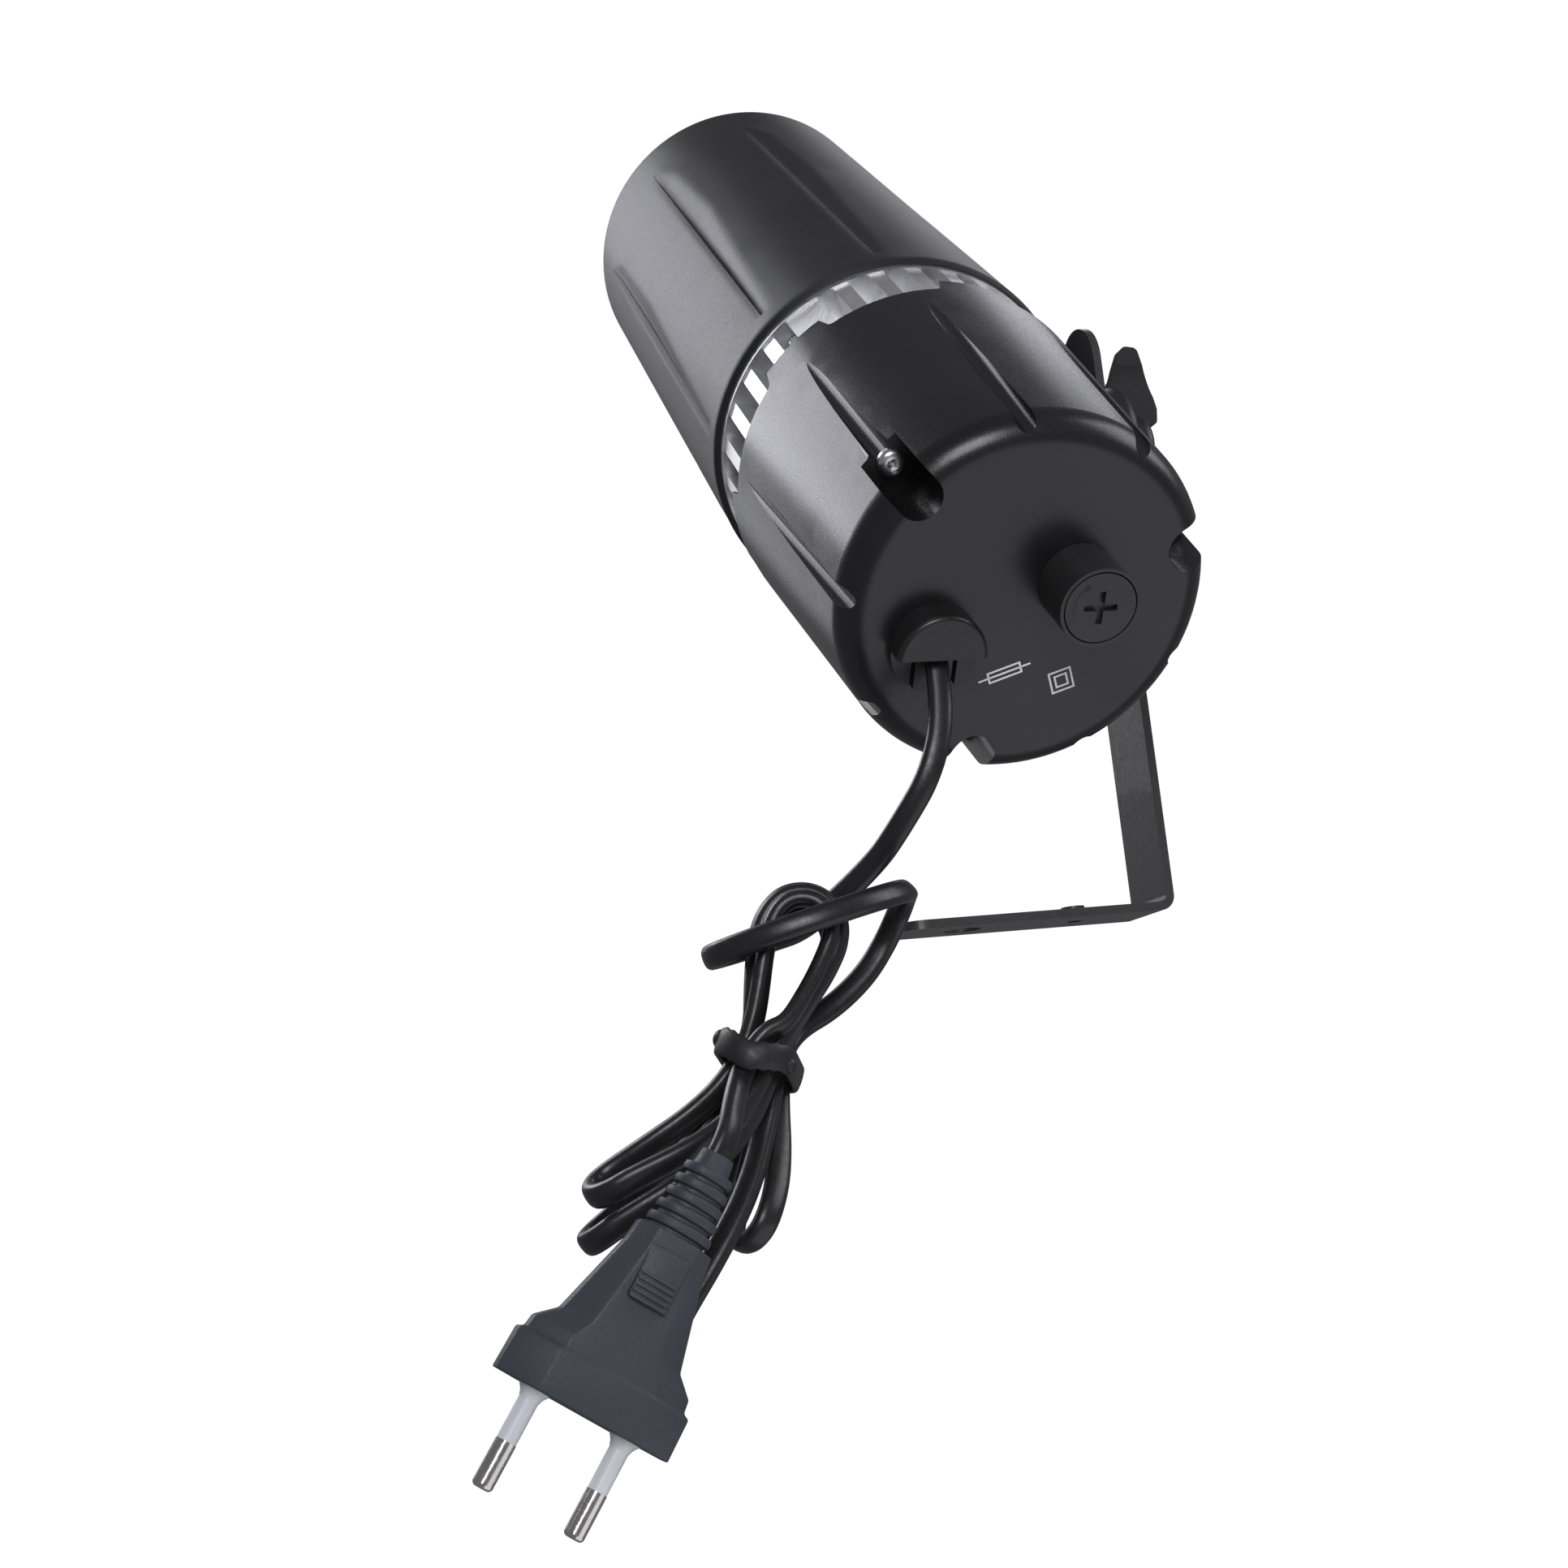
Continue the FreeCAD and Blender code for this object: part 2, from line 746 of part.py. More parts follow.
def bracket():
    half = strap_width / 2
    strap = Part.Face(strap_profile()).extrude(V(0, strap_width, 0))
    corners = [
        edge for edge in strap.Edges
        if abs(edge.BoundBox.XMax + base_reach) < running_gap and edge.BoundBox.YLength < running_gap
    ]
    strap = strap.makeFillet(base_corner_radius, corners)
    arm_end = pivot_height + arm_overhang - half
    crown = Part.makeCylinder(half, strap_thickness, V(arm_inner, 0, arm_end), ALONG_X)
    collar_top = strap_thickness + collar_height
    collar = rod(collar_radius, strap_thickness - touch_overlap, collar_top, collar_place)
    through = collar_top + cut_overrun
    bolt_start = V(arm_inner - cut_overrun, 0, pivot_height)
    return joined([strap, crown, collar]).cut([
        rod(mount_hole_radius, -cut_overrun, through),
        rod(collar_hole_radius, -cut_overrun, through, collar_place),
        Part.makeCylinder(bolt_hole_radius, strap_thickness + 2 * cut_overrun, bolt_start, ALONG_X),
    ])


def at_pivot(shape):
    return moved(shape, V(0, 0, pivot_height))


def pivot_washer():
    disc = Part.makeCylinder(pivot_boss_radius, washer_thickness, V(boss_face, 0, 0), ALONG_X)
    start, length = V(boss_face - cut_overrun, 0, 0), washer_thickness + 2 * cut_overrun
    return at_pivot(disc.cut(Part.makeCylinder(bolt_hole_radius, length, start, ALONG_X)))


def wing_knob():
    hub_top = wing_height * wing_outline_shares[-1][0]
    base = turned([
        (0, 0), (knob_base_radius, 0), (knob_base_radius, knob_base_height, knob_base_rounding),
        (knob_hub_radius, knob_base_height), (knob_hub_radius, hub_top, knob_base_rounding), (0, hub_top),
    ])
    base.rotate(ORIGIN, V(0, 1, 0), 90)
    reach = wing_root_thickness
    upper = [(h * wing_height, z * wing_half_span) for h, z in wing_outline_shares]
    lower = [(h, -z) for h, z in reversed(upper[:-1])]
    outline = [V(h, -reach, z) for h, z in upper + lower]
    wings = rounded_face(outline, wing_rounding).extrude(V(0, 2 * reach, 0))
    root, tip = wing_root_thickness / 2, wing_tip_thickness / 2
    span = wing_half_span + cut_overrun
    corners = [(-root, 0), (-tip, span), (tip, span), (root, 0), (tip, -span), (-tip, -span)]
    taper = [V(-cut_overrun, y, z) for y, z in corners]
    slab = Part.Face(Part.makePolygon(taper + taper[:1])).extrude(V(wing_height + 2 * cut_overrun, 0, 0))
    scoops = []
    for side in (-1, 1):
        for end in (-1, 1):
            y = side * ((root + tip) / 2 - wing_scoop_depth + wing_scoop_radius)
            start = V(knob_base_height, y, end * wing_scoop_place)
            scoops.append(Part.makeCylinder(wing_scoop_radius, wing_height, start, ALONG_X))
    knob = joined([base, wings.common(slab).cut(scoops)])
    start, length = V(-cut_overrun, 0, 0), bolt_in_knob + cut_overrun
    bore = Part.makeCylinder(bolt_radius + running_gap, length, start, ALONG_X)
    return at_pivot(moved(knob.cut(bore), V(arm_outer, 0, 0)))


def knob_bolt():
    start = boss_face - bolt_in_ring + loose_gap
    return at_pivot(Part.makeCylinder(bolt_radius, arm_outer + bolt_in_knob - start, V(start, 0, 0), ALONG_X))


def cord_place(step):
    # a place given as steps from where the cord leaves its grip
    seat, way = cord_exit()
    return lamp_placement().multVec(seat) + V(*step)


def lead_points():
    seat, way = cord_exit()
    first = lamp_placement().Rotation.multVec(way) * cord_first_run
    start = lamp_placement().multVec(seat)
    return [start, start + first] + [cord_place(step) for step in cord_bends] + [cord_place(cord_lead_end)]


def rounded_path(points):
    # straight runs joined by tangent arcs, each as large as its two runs allow
    edges, radii = [], []
    start = points[0]
    for before, corner, after in zip(points, points[1:], points[2:]):
        way_in, way_out = corner - before, after - corner
        turn = way_in.getAngle(way_out)
        radii.append(corner_share * min(way_in.Length, way_out.Length) / math.tan(turn / 2))
        arc, arc_start, arc_end = corner_arc(before, corner, after, radii[-1])
        edges += [straight(start, arc_start), arc]
        start = arc_end
    edges.append(straight(start, points[-1]))
    return edges, radii


def cord_tube(edges, start, way, name):
    # one unbroken round tube along the edges
    section = Part.Wire(Part.makeCircle(cord_radius, start, way))
    shape = Part.Wire(edges).makePipeShell([section], True, False)
    length = sum(edge.Length for edge in edges)
    share = shape.Volume / (length * math.pi * cord_radius ** 2)
    print(name, "length %.1f, volume over section times length %.4f" % (length, share))
    return shape


def cord_lead():
    points = lead_points()
    edges, radii = rounded_path(points)
    print("lead: radii of its bends", [round(radius, 1) for radius in radii])
    return cord_tube(edges, points[0], points[1] - points[0], "lead:")


def leaning_axes(angle):
    # to the right and up, square to each other, leaning from the vertical in the XZ plane
    lean = math.radians(angle)
    return V(math.cos(lean), 0, -math.sin(lean)), V(math.sin(lean), 0, math.cos(lean))


def hank_place(side, height, depth):
    right, up = leaning_axes(hank_lean_angle)
    return cord_place(hank_waist) + right * side + up * height + V(0, depth, 0)


def ease(share):
    return share * share * (3 - 2 * share)


def twist_angle(height):
    share = min(max((height - twist_low) / (twist_high - twist_low), 0), 1)
    return twist_start_angle + twist_turn_angle * ease(share)


def strand_place(height, column, spread):
    # columns of strands stand side by side below the waist and behind each other above it
    turn = math.radians(twist_angle(height))
    side = column * math.cos(turn) + spread * math.sin(turn)
    return hank_place(side, height, column * math.sin(turn) - spread * math.cos(turn))


def waist_column(i):
    return (loop_count / 2 - i) * (cord_diameter + strand_gap)


def low_run(i, side, share):
    # from the waist to the start of the fold at the lower end of a loop
    height = (fold_radius - fold_reaches[i]) * share
    spread = waist_spread + (fold_radius - waist_spread) * ease(share)
    fan = share ** 2 * (fan_share - (fan_share - 1) * share)
    return strand_place(height, waist_column(i) + (fold_places[i] - waist_column(i)) * fan, side * spread)


def high_run(i, column, side, share):
    # from a column at the waist to the foot of an arch at the upper end of a loop
    height = (arch_reaches[i] - arch_radii[i]) * share
    spread = waist_spread + (arch_radii[i] - waist_spread) * ease(share)
    return strand_place(height, column + (waist_column(i) - column) * ease(share), side * spread)


def half_circle(out, back, share):
    # a place on the half circle that joins the ends of two strands, one going out, one coming back
    start, end = out(1), back(1)
    centre, arm = (start + end) * half_share, (start - end) * half_share
    onward = start - out(1 - share_step) + end - back(1 - share_step)
    onward = onward - arm * (onward.dot(arm) / arm.dot(arm))
    turn = math.pi * share
    return centre + arm * math.cos(turn) + onward.normalize() * (arm.Length * math.sin(turn))


def neck_turn(share):
    turn = math.radians(wrap_start_angle + (360 - wrap_start_angle) * share)
    slope = math.radians(wrap_slope_angle)
    along = wrap_half_width * math.cos(turn)
    side, height, depth = wrap_middle
    side, height = side + along * math.cos(slope), height + along * math.sin(slope)
    return hank_place(side, height, depth + wrap_half_depth * math.sin(turn))


def stations(piece, shares):
    # places on a stretch of the hank with their directions
    return [(piece(share), piece(share + share_step) - piece(share - share_step)) for share in shares]


def between(start, places, end):
    # chosen places, each with the direction from the place before it to the place after it
    points = [start] + [hank_place(*place) for place in places] + [end]
    return [(here, after - before) for before, here, after in zip(points, points[1:], points[2:])]


def loop_stations(i):
    # down to the fold, up to the arch and back down to the next column at the waist
    column, following = waist_column(i), waist_column(i + 1)
    down, up = lambda share: low_run(i, 1, share), lambda share: low_run(i, -1, share)
    rise, fall = lambda share: high_run(i, column, -1, share), lambda share: high_run(i, following, 1, share)
    route = stations(down, (0, half_share))
    route += stations(lambda share: half_circle(down, up, share), (0, half_share, 1))
    route += stations(lambda share: up(1 - share), (half_share,))
    route += stations(rise, (0, half_share))
    route += stations(lambda share: half_circle(rise, fall, share), (0, half_share, 1))
    return route + stations(lambda share: fall(1 - share), (half_share,))


def hank_stations():
    start = cord_place(cord_lead_end)
    way = start - cord_place(cord_bends[-1])
    way.normalize()
    route = [(start, way), (start + way * cord_diameter, way)]
    route += stations(neck_turn, [k / wrap_steps for k in range(wrap_steps + 1)])
    first, last = waist_column(0), waist_column(loop_count)
    enter = stations(lambda share: strand_place(waist_run * (1 - share), first, waist_spread), (0,))
    route += between(route[-1][0], side_strand, enter[0][0]) + enter
    for i in range(loop_count):
        route += loop_stations(i)
    route += stations(lambda share: strand_place(waist_run * (1 - 2 * share), last, 0), (0, 1))
    end, down = hank_place(*tail_end), -leaning_axes(plug_lean_angle)[1]
    straight_start = end - down * cord_diameter
    route += between(route[-1][0], tail_strand, straight_start)
    return route + [(straight_start, down), (end, down)]


def arc_between(start, corner, end):
    middle = (start + end) * half_share
    rise, half = (corner - middle).Length, (end - start).Length / 2
    if rise < straight_share * half:
        return straight(start, end)
    crown = middle + (corner - middle) * (half * math.tan(math.atan(rise / half) / 2) / rise)
    return Part.Arc(start, crown, end).toShape()


def biarcs(route):
    # two arcs between each pair of places, tangent to the directions there
    edges = []
    for (start, way), (end, onward) in zip(route, route[1:]):
        way, onward = V(way).normalize(), V(onward).normalize()
        gap = end - start
        pull = gap.dot(way + onward)
        spread = 2 * (1 - way.dot(onward))
        if spread < straight_share:
            reach = gap.Length ** 2 / (2 * pull)
        else:
            reach = (math.sqrt(pull ** 2 + spread * gap.Length ** 2) - pull) / spread
        first, second = start + way * reach, end - onward * reach
        joint = (first + second) * half_share
        edges += [arc_between(start, first, joint), arc_between(joint, second, end)]
    return edges


def least_self_gap(edges):
    # the smallest gap between stretches of the tube that lie more than a few diameters apart along it
    points, runs, run = [], [], 0
    for edge in edges:
        for point in edge.discretize(max(2, int(edge.Length / gap_step)))[:-1]:
            if points:
                run += (point - points[-1]).Length
            points.append(point)
            runs.append(run)
    apart = near_diameters * cord_diameter
    pairs = [(i, j) for i in range(len(points)) for j in range(i) if runs[i] - runs[j] > apart]
    return min(points[i].distanceToPoint(points[j]) for i, j in pairs) - cord_diameter


def cord_hank():
    route = hank_stations()
    edges = biarcs(route)
    tightest = min(edge.Curve.Radius for edge in edges if hasattr(edge.Curve, "Radius"))
    print("hank: least gap to itself %.2f, tightest bend %.1f" % (least_self_gap(edges), tightest))
    return cord_tube(edges, route[0][0], route[0][1], "hank:")


def rounded_plate(width, thickness, rounding, place):
    # a flat face square to Z with rounded corners
    x, y = width / 2, thickness / 2
    return rounded_face([V(-x, -y, place), V(x, -y, place), V(x, y, place), V(-x, y, place)], rounding)


def cord_tie():
    # a flat oval band that lies round the strands as they stand at the waist
    def band(grow):
        half_length, half_width = tie_half_length + grow, tie_half_width + grow
        return rounded_plate(2 * half_length, 2 * half_width, half_width, -tie_height / 2)

    rise = V(0, 0, tie_height)
    tie = band(tie_wall).extrude(rise).cut(moved(band(0), -rise).extrude(rise * 3))
    right, up = leaning_axes(hank_lean_angle)
    return placed(spun(tie, twist_angle(0)), cord_place(hank_waist), right, up)


def placed(shape, origin, x_way, z_way):
    turn = FreeCAD.Rotation(x_way, z_way.cross(x_way), z_way)
    shape.Placement = FreeCAD.Placement(origin, turn).multiply(shape.Placement)
    return shape


def on_plug(shape):
    # the plug is drawn with +Z from the cord to the pins and X along its width
    right, up = leaning_axes(plug_lean_angle)
    return placed(shape, hank_place(*tail_end), right, -up)


def plug_boot():
    # ribs and the grooves between them, growing towards the plug
    steps = 2 * boot_ribs - 1
    plates = []
    for k in range(steps):
        sunk = 2 * boot_rib_depth * (k % 2)
        grown = boot_growth * k / steps
        width, thickness = boot_width + grown - sunk, boot_thickness + grown / 2 - sunk
        plate = rounded_plate(width, thickness, thickness / 2, boot_length * k / steps)
        plates.append(plate.extrude(V(0, 0, boot_length / steps)))
    return on_plug(joined(plates))


def pin_places():
    return [V(side * pin_spacing / 2, 0, boot_length + plug_length) for side in (-1, 1)]


def plug_body():
    faces = [rounded_plate(width, thickness, plug_rounding, boot_length + place)
             for place, width, thickness in plug_sections]
    body = Part.makeLoft([face.OuterWire for face in faces], True, True)
    bore = sleeve_radius - sleeve_wall
    return on_plug(body.cut([moved(rod(bore, -pin_root, cut_overrun), place) for place in pin_places()]))


def plug_pins():
    neck = sleeve_radius - sleeve_wall - running_gap
    pin = turned([
        (0, -pin_root), (neck, -pin_root), (neck, sleeve_length), (pin_radius, sleeve_length),
        (pin_radius, pin_length, pin_tip_rounding), (0, pin_length),
    ])
    return on_plug(Part.makeCompound([moved(pin, place) for place in pin_places()]))


def pin_sleeves():
    sleeve = tube(sleeve_radius, sleeve_radius - sleeve_wall, 0, sleeve_length)
    return on_plug(Part.makeCompound([moved(sleeve, place) for place in pin_places()]))


def save(name, shape, on_lamp=False):
    if on_lamp:
        shape = shape.copy()
        shape.Placement = lamp_placement().multiply(shape.Placement)
    if not shape.isValid():
        print("not valid:", name)
    shape.exportStep("parts/" + name + ".step")


lamp_pieces = {
    "heat_sink": heat_sink, "front_shell": front_shell, "front_lens": front_lens, "lens_ring": lens_ring,
    "led_board": led_board, "led_emitter": led_emitter, "led_optic": led_optic, "rear_shell": rear_shell,
    "shell_screws": shell_screws, "driver_board": driver_board, "transformer": transformer,
    "capacitors": capacitors, "fuse_holder": fuse_holder, "fuse_holder_nut": fuse_holder_nut,
    "fuse_carrier": fuse_carrier, "fuse_tube": fuse_tube, "fuse_ends": fuse_ends, "fuse_cap": fuse_cap,
    "strain_relief": strain_relief,
}
bracket_pieces = {
    "bracket": bracket, "pivot_washer": pivot_washer, "wing_knob": wing_knob, "knob_bolt": knob_bolt,
    "cord_lead": cord_lead, "cord_hank": cord_hank, "cord_tie": cord_tie, "plug_boot": plug_boot,
    "plug_body": plug_body, "plug_pins": plug_pins, "pin_sleeves": pin_sleeves,
}

os.makedirs("parts", exist_ok=True)
for name, make in lamp_pieces.items():
    save(name, make(), on_lamp=True)
for name, make in bracket_pieces.items():
    save(name, make())
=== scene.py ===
import math
import bmesh
import bpy
from mathutils import Matrix, Vector


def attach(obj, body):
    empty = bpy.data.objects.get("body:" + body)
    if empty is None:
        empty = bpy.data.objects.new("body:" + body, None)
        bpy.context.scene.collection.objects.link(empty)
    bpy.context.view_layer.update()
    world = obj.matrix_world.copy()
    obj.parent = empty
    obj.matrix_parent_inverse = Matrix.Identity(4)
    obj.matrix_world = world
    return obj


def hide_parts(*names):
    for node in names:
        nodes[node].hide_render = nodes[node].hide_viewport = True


# A pinspot light on a one-armed bracket, its mains cord tied in a hank. Lengths are in metres.
# The lamp, the screws and the plug are each modelled upright on their own axis and then set in
# place, so that every finished piece keeps its place in its mesh.

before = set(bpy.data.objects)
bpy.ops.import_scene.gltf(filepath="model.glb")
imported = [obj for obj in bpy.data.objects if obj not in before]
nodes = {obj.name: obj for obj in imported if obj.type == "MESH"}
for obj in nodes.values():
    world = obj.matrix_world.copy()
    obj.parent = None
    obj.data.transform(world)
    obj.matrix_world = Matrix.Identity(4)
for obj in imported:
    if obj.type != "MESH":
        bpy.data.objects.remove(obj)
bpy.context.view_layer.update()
bpy.ops.object.select_all(action="DESELECT")

# Lamp, drawn about its own axis with +Z to the front
pivot_height = 0.1137
lamp_tilt_angle = 40.5
rear_face = -0.08375
screw_circle = 0.037
screw_start_angle = 222.2
screw_seat = -0.06575
fuse_place = (0.010001, -0.004699)
cap_front = -0.09635

lamp_lean = Matrix.Rotation(math.radians(lamp_tilt_angle - 90), 4, "X")
lamp_place = Matrix.Translation((0, 0, pivot_height)) @ lamp_lean


# Camera, at the photograph's angle
camera_place = Vector((-0.1786, -0.4944, -0.0522))
camera_right = Vector((0.9614, -0.2540, -0.1056))
camera_up = Vector((0.0448, -0.2343, 0.9711))
camera_lens = 53.0
camera_sensor = 36.0
camera_near = 0.01
camera_far = 50.0
camera_dip_angle = 2.6


def set_camera():
    data = bpy.data.cameras.new("camera")
    data.lens = camera_lens
    data.sensor_width = camera_sensor
    data.clip_start = camera_near
    data.clip_end = camera_far
    camera = bpy.data.objects.new("camera", data)
    bpy.context.scene.collection.objects.link(camera)
    back = camera_right.cross(camera_up).normalized()
    up = back.cross(camera_right).normalized()
    turn = Matrix((camera_right.normalized(), up, back)).transposed().to_4x4()
    # the plug is as large as a real one, so the view dips a little to hold its pins
    dip = Matrix.Rotation(math.radians(-camera_dip_angle), 4, "X")
    camera.matrix_world = Matrix.Translation(camera_place) @ turn @ dip
    bpy.context.scene.camera = camera


# Materials. Scales are in pattern steps per metre, heights of relief in metres.
tone_scale = 35.0
tone_limits = (0.35, 0.65)
brush_stretch = (1, 1, 0.06)
patch_scale = 120.0
patch_limits = (0.3, 0.7)
track_scale = 220.0
track_width = 0.03
track_height = 0.00003
dust_scale = 300.0
dust_limits = (0.45, 0.75)
dust_height = 0.000004


def new_material(name, **sockets):
    material = bpy.data.materials.new(name)
    material.use_nodes = True
    shader = material.node_tree.nodes["Principled BSDF"]
    for socket, value in sockets.items():
        shader.inputs[socket.replace("_", " ")].default_value = value
    return material


def add_node(material, kind, **sockets):
    node = material.node_tree.nodes.new("ShaderNode" + kind)
    for socket, value in sockets.items():
        node.inputs[socket.replace("_", " ")].default_value = value
    return node


def join_nodes(material, source, output, target, socket):
    material.node_tree.links.new(source.outputs[output], target.inputs[socket])


def shader_of(material):
    return material.node_tree.nodes["Principled BSDF"]


def place_node(material, turn=(0, 0, 0), stretch=(1, 1, 1)):
    # object coordinates, turned and stretched where a finish runs along its piece
    coordinates = add_node(material, "TexCoord")
    mapping = add_node(material, "Mapping", Rotation=turn, Scale=stretch)
    join_nodes(material, coordinates, "Object", mapping, "Vector")
    return mapping


def add_noise(material, place, scale, detail=2.0, rough=0.5):
    noise = add_node(material, "TexNoise", Scale=scale, Detail=detail, Roughness=rough)
    join_nodes(material, place, "Vector", noise, "Vector")
    return noise


def add_ramp(material, source, output, stops):
    # a new ramp has two ends, and each of them gets its place and its colour
    ramp = add_node(material, "ValToRGB")
    for element, (place, colour) in zip(ramp.color_ramp.elements, stops):
        element.position = place
        element.color = tuple(colour) + (1,)
    join_nodes(material, source, output, ramp, "Fac")
    return ramp


def grey(value):
    return (value, value, value)


def add_range(material, source, output, low, high, start=0.3, end=0.7):
    # turns a pattern into a number between two limits
    span = add_node(material, "MapRange")
    span.inputs["From Min"].default_value = start
    span.inputs["From Max"].default_value = end
    span.inputs["To Min"].default_value = low
    span.inputs["To Max"].default_value = high
    join_nodes(material, source, output, span, "Value")
    return span


def add_bump(material, source, output, height, below=None):
    # relief of the pattern's height, laid over the softened edges below it
    bump = add_node(material, "Bump", Strength=1.0, Distance=height)
    join_nodes(material, source, output, bump, "Height")
    if below:
        join_nodes(material, below, "Normal", bump, "Normal")
    join_nodes(material, bump, "Normal", shader_of(material), "Normal")


def moulded_plastic(name, dark, light, rough, grain, grain_height, edge=0.0, **sockets):
    # a moulded skin: a fine grain, slow changes of tone and of shine, edges softened where asked
    material = new_material(name, **sockets)
    place = place_node(material)
    slow = add_noise(material, place, tone_scale, 4.0)
    fine = add_noise(material, place, grain, 2.0, 0.6)
    colour = add_ramp(material, slow, "Fac", zip(tone_limits, (dark, light)))
    join_nodes(material, colour, "Color", shader_of(material), "Base Color")
    shine = add_range(material, fine, "Fac", *rough)
    join_nodes(material, shine, "Result", shader_of(material), "Roughness")
    soft = add_node(material, "Bevel", Radius=edge) if edge else None
    add_bump(material, fine, "Fac", grain_height, below=soft)
    return material


def brushed_metal(name, dark, light, rough, turn, lines, line_height):
    # tool marks that run along one way, with dull and bright patches
    material = new_material(name, Metallic=1.0)
    along = place_node(material, turn, brush_stretch)
    even = place_node(material)
    marks = add_noise(material, along, lines, 3.0, 0.7)
    patches = add_noise(material, even, patch_scale, 3.0)
    colour = add_ramp(material, patches, "Fac", zip(patch_limits, (dark, light)))
    join_nodes(material, colour, "Color", shader_of(material), "Base Color")
    shine = add_range(material, marks, "Fac", *rough)
    join_nodes(material, shine, "Result", shader_of(material), "Roughness")
    add_bump(material, marks, "Fac", line_height)
    return material


def copper_board(name, mask_dark, mask_light, track):
    # solder mask over tracks, which show as paler lines
    material = new_material(name, Roughness=0.35)
    place = place_node(material, (math.radians(lamp_tilt_angle - 90), 0, 0))
    colours = {"Color1": mask_dark + (1,), "Color2": mask_light + (1,), "Mortar": track + (1,)}
    cells = add_node(material, "TexBrick", Scale=track_scale, Mortar_Size=track_width, **colours)
    join_nodes(material, place, "Vector", cells, "Vector")
    join_nodes(material, cells, "Color", shader_of(material), "Base Color")
    add_bump(material, cells, "Fac", track_height)
    return material


lamp_turn = (math.radians(90 - lamp_tilt_angle), 0, 0)

shell_plastic = moulded_plastic(
    "shell_plastic", grey(0.010), (0.014, 0.014, 0.016), (0.40, 0.54), 2600.0, 0.00003,
    edge=0.0035,
)
rear_plastic = moulded_plastic(
    "rear_plastic", grey(0.010), (0.014, 0.014, 0.016), (0.22, 0.34), 3400.0, 0.000014,
    Specular_IOR_Level=0.55,
)
holder_plastic = moulded_plastic(
    "holder_plastic", grey(0.022), grey(0.030), (0.34, 0.48), 1800.0, 0.000015,
)
grip_plastic = moulded_plastic(
    "grip_plastic", grey(0.013), grey(0.020), (0.26, 0.40), 1500.0, 0.00001,
)
knob_plastic = moulded_plastic(
    "knob_plastic", grey(0.009), grey(0.014), (0.34, 0.48), 1600.0, 0.00002,
)
cord_black = moulded_plastic(
    "cord_black", grey(0.014), grey(0.022), (0.26, 0.38), 900.0, 0.00002,
)
tie_black = moulded_plastic(
    "tie_black", grey(0.012), grey(0.020), (0.40, 0.55), 900.0, 0.00002,
)
plug_grey = moulded_plastic(
    "plug_grey", (0.040, 0.047, 0.056), (0.052, 0.060, 0.070), (0.45, 0.62), 1500.0, 0.00006,
)
bracket_paint = moulded_plastic(
    "bracket_paint", grey(0.030), grey(0.042), (0.34, 0.50), 700.0, 0.00004,
    Coat_Weight=0.15,
)
washer_rubber = moulded_plastic(
    "washer_rubber", grey(0.012), grey(0.020), (0.60, 0.80), 1200.0, 0.00003,
)
capacitor_black = moulded_plastic(
    "capacitor_black", grey(0.012), grey(0.020), (0.25, 0.40), 800.0, 0.00001,
)
sleeve_white = moulded_plastic(
    "sleeve_white", grey(0.86), grey(0.92), (0.30, 0.42), 900.0, 0.00001,
    Subsurface_Weight=0.1,
)
board_white = moulded_plastic(
    "board_white", grey(0.70), grey(0.80), (0.30, 0.45), 900.0, 0.00001,
)
emitter_yellow = moulded_plastic(
    "emitter_yellow", (0.75, 0.60, 0.08), (0.85, 0.70, 0.12), (0.15, 0.30), 900.0, 0.000005,
    Coat_Weight=0.5,
)
transformer_yellow = moulded_plastic(
    "transformer_yellow", (0.62, 0.42, 0.05), (0.72, 0.50, 0.08), (0.35, 0.55), 600.0, 0.00004,
)
print_white = moulded_plastic(
    "print_white", grey(0.86), grey(0.95), (0.45, 0.60), 3000.0, 0.000005,
)
board_green = copper_board(
    "board_green", (0.01, 0.10, 0.03), (0.012, 0.12, 0.035), (0.03, 0.22, 0.06),
)
cast_aluminium = brushed_metal(
    "cast_aluminium", grey(0.88), grey(0.96), (0.30, 0.46), lamp_turn, 900.0, 0.00006,
)
screw_steel = brushed_metal(
    "screw_steel", grey(0.74), grey(0.86), (0.22, 0.36), lamp_turn, 1500.0, 0.00001,
)
bolt_steel = brushed_metal(
    "bolt_steel", grey(0.52), grey(0.64), (0.25, 0.40),
    (0, math.radians(90), 0), 1200.0, 0.00002,
)
pin_metal = brushed_metal(
    "pin_metal", (0.70, 0.68, 0.64), (0.80, 0.78, 0.74), (0.10, 0.22),
    (0, math.radians(35), 0), 1500.0, 0.00001,
)
fuse_metal = brushed_metal(
    "fuse_metal", grey(0.62), grey(0.74), (0.15, 0.28), lamp_turn, 1500.0, 0.00001,
)


def clear_material(name, rough, colour, ior):
    # clear glass or acrylic with a little dust, which dulls it in patches
    material = new_material(name, Transmission_Weight=1.0, IOR=ior, Base_Color=colour + (1,))
    place = place_node(material)
    dust = add_noise(material, place, dust_scale, 6.0, 0.7)
    shine = add_range(material, dust, "Fac", *rough, *dust_limits)
    join_nodes(material, shine, "Result", shader_of(material), "Roughness")
    add_bump(material, dust, "Fac", dust_height)
    return material


lens_glass = clear_material("lens_glass", (0.01, 0.06), grey(0.98), 1.50)
optic_clear = clear_material("optic_clear", (0.02, 0.08), grey(0.97), 1.49)
fuse_glass = clear_material("fuse_glass", (0.01, 0.05), grey(0.98), 1.50)

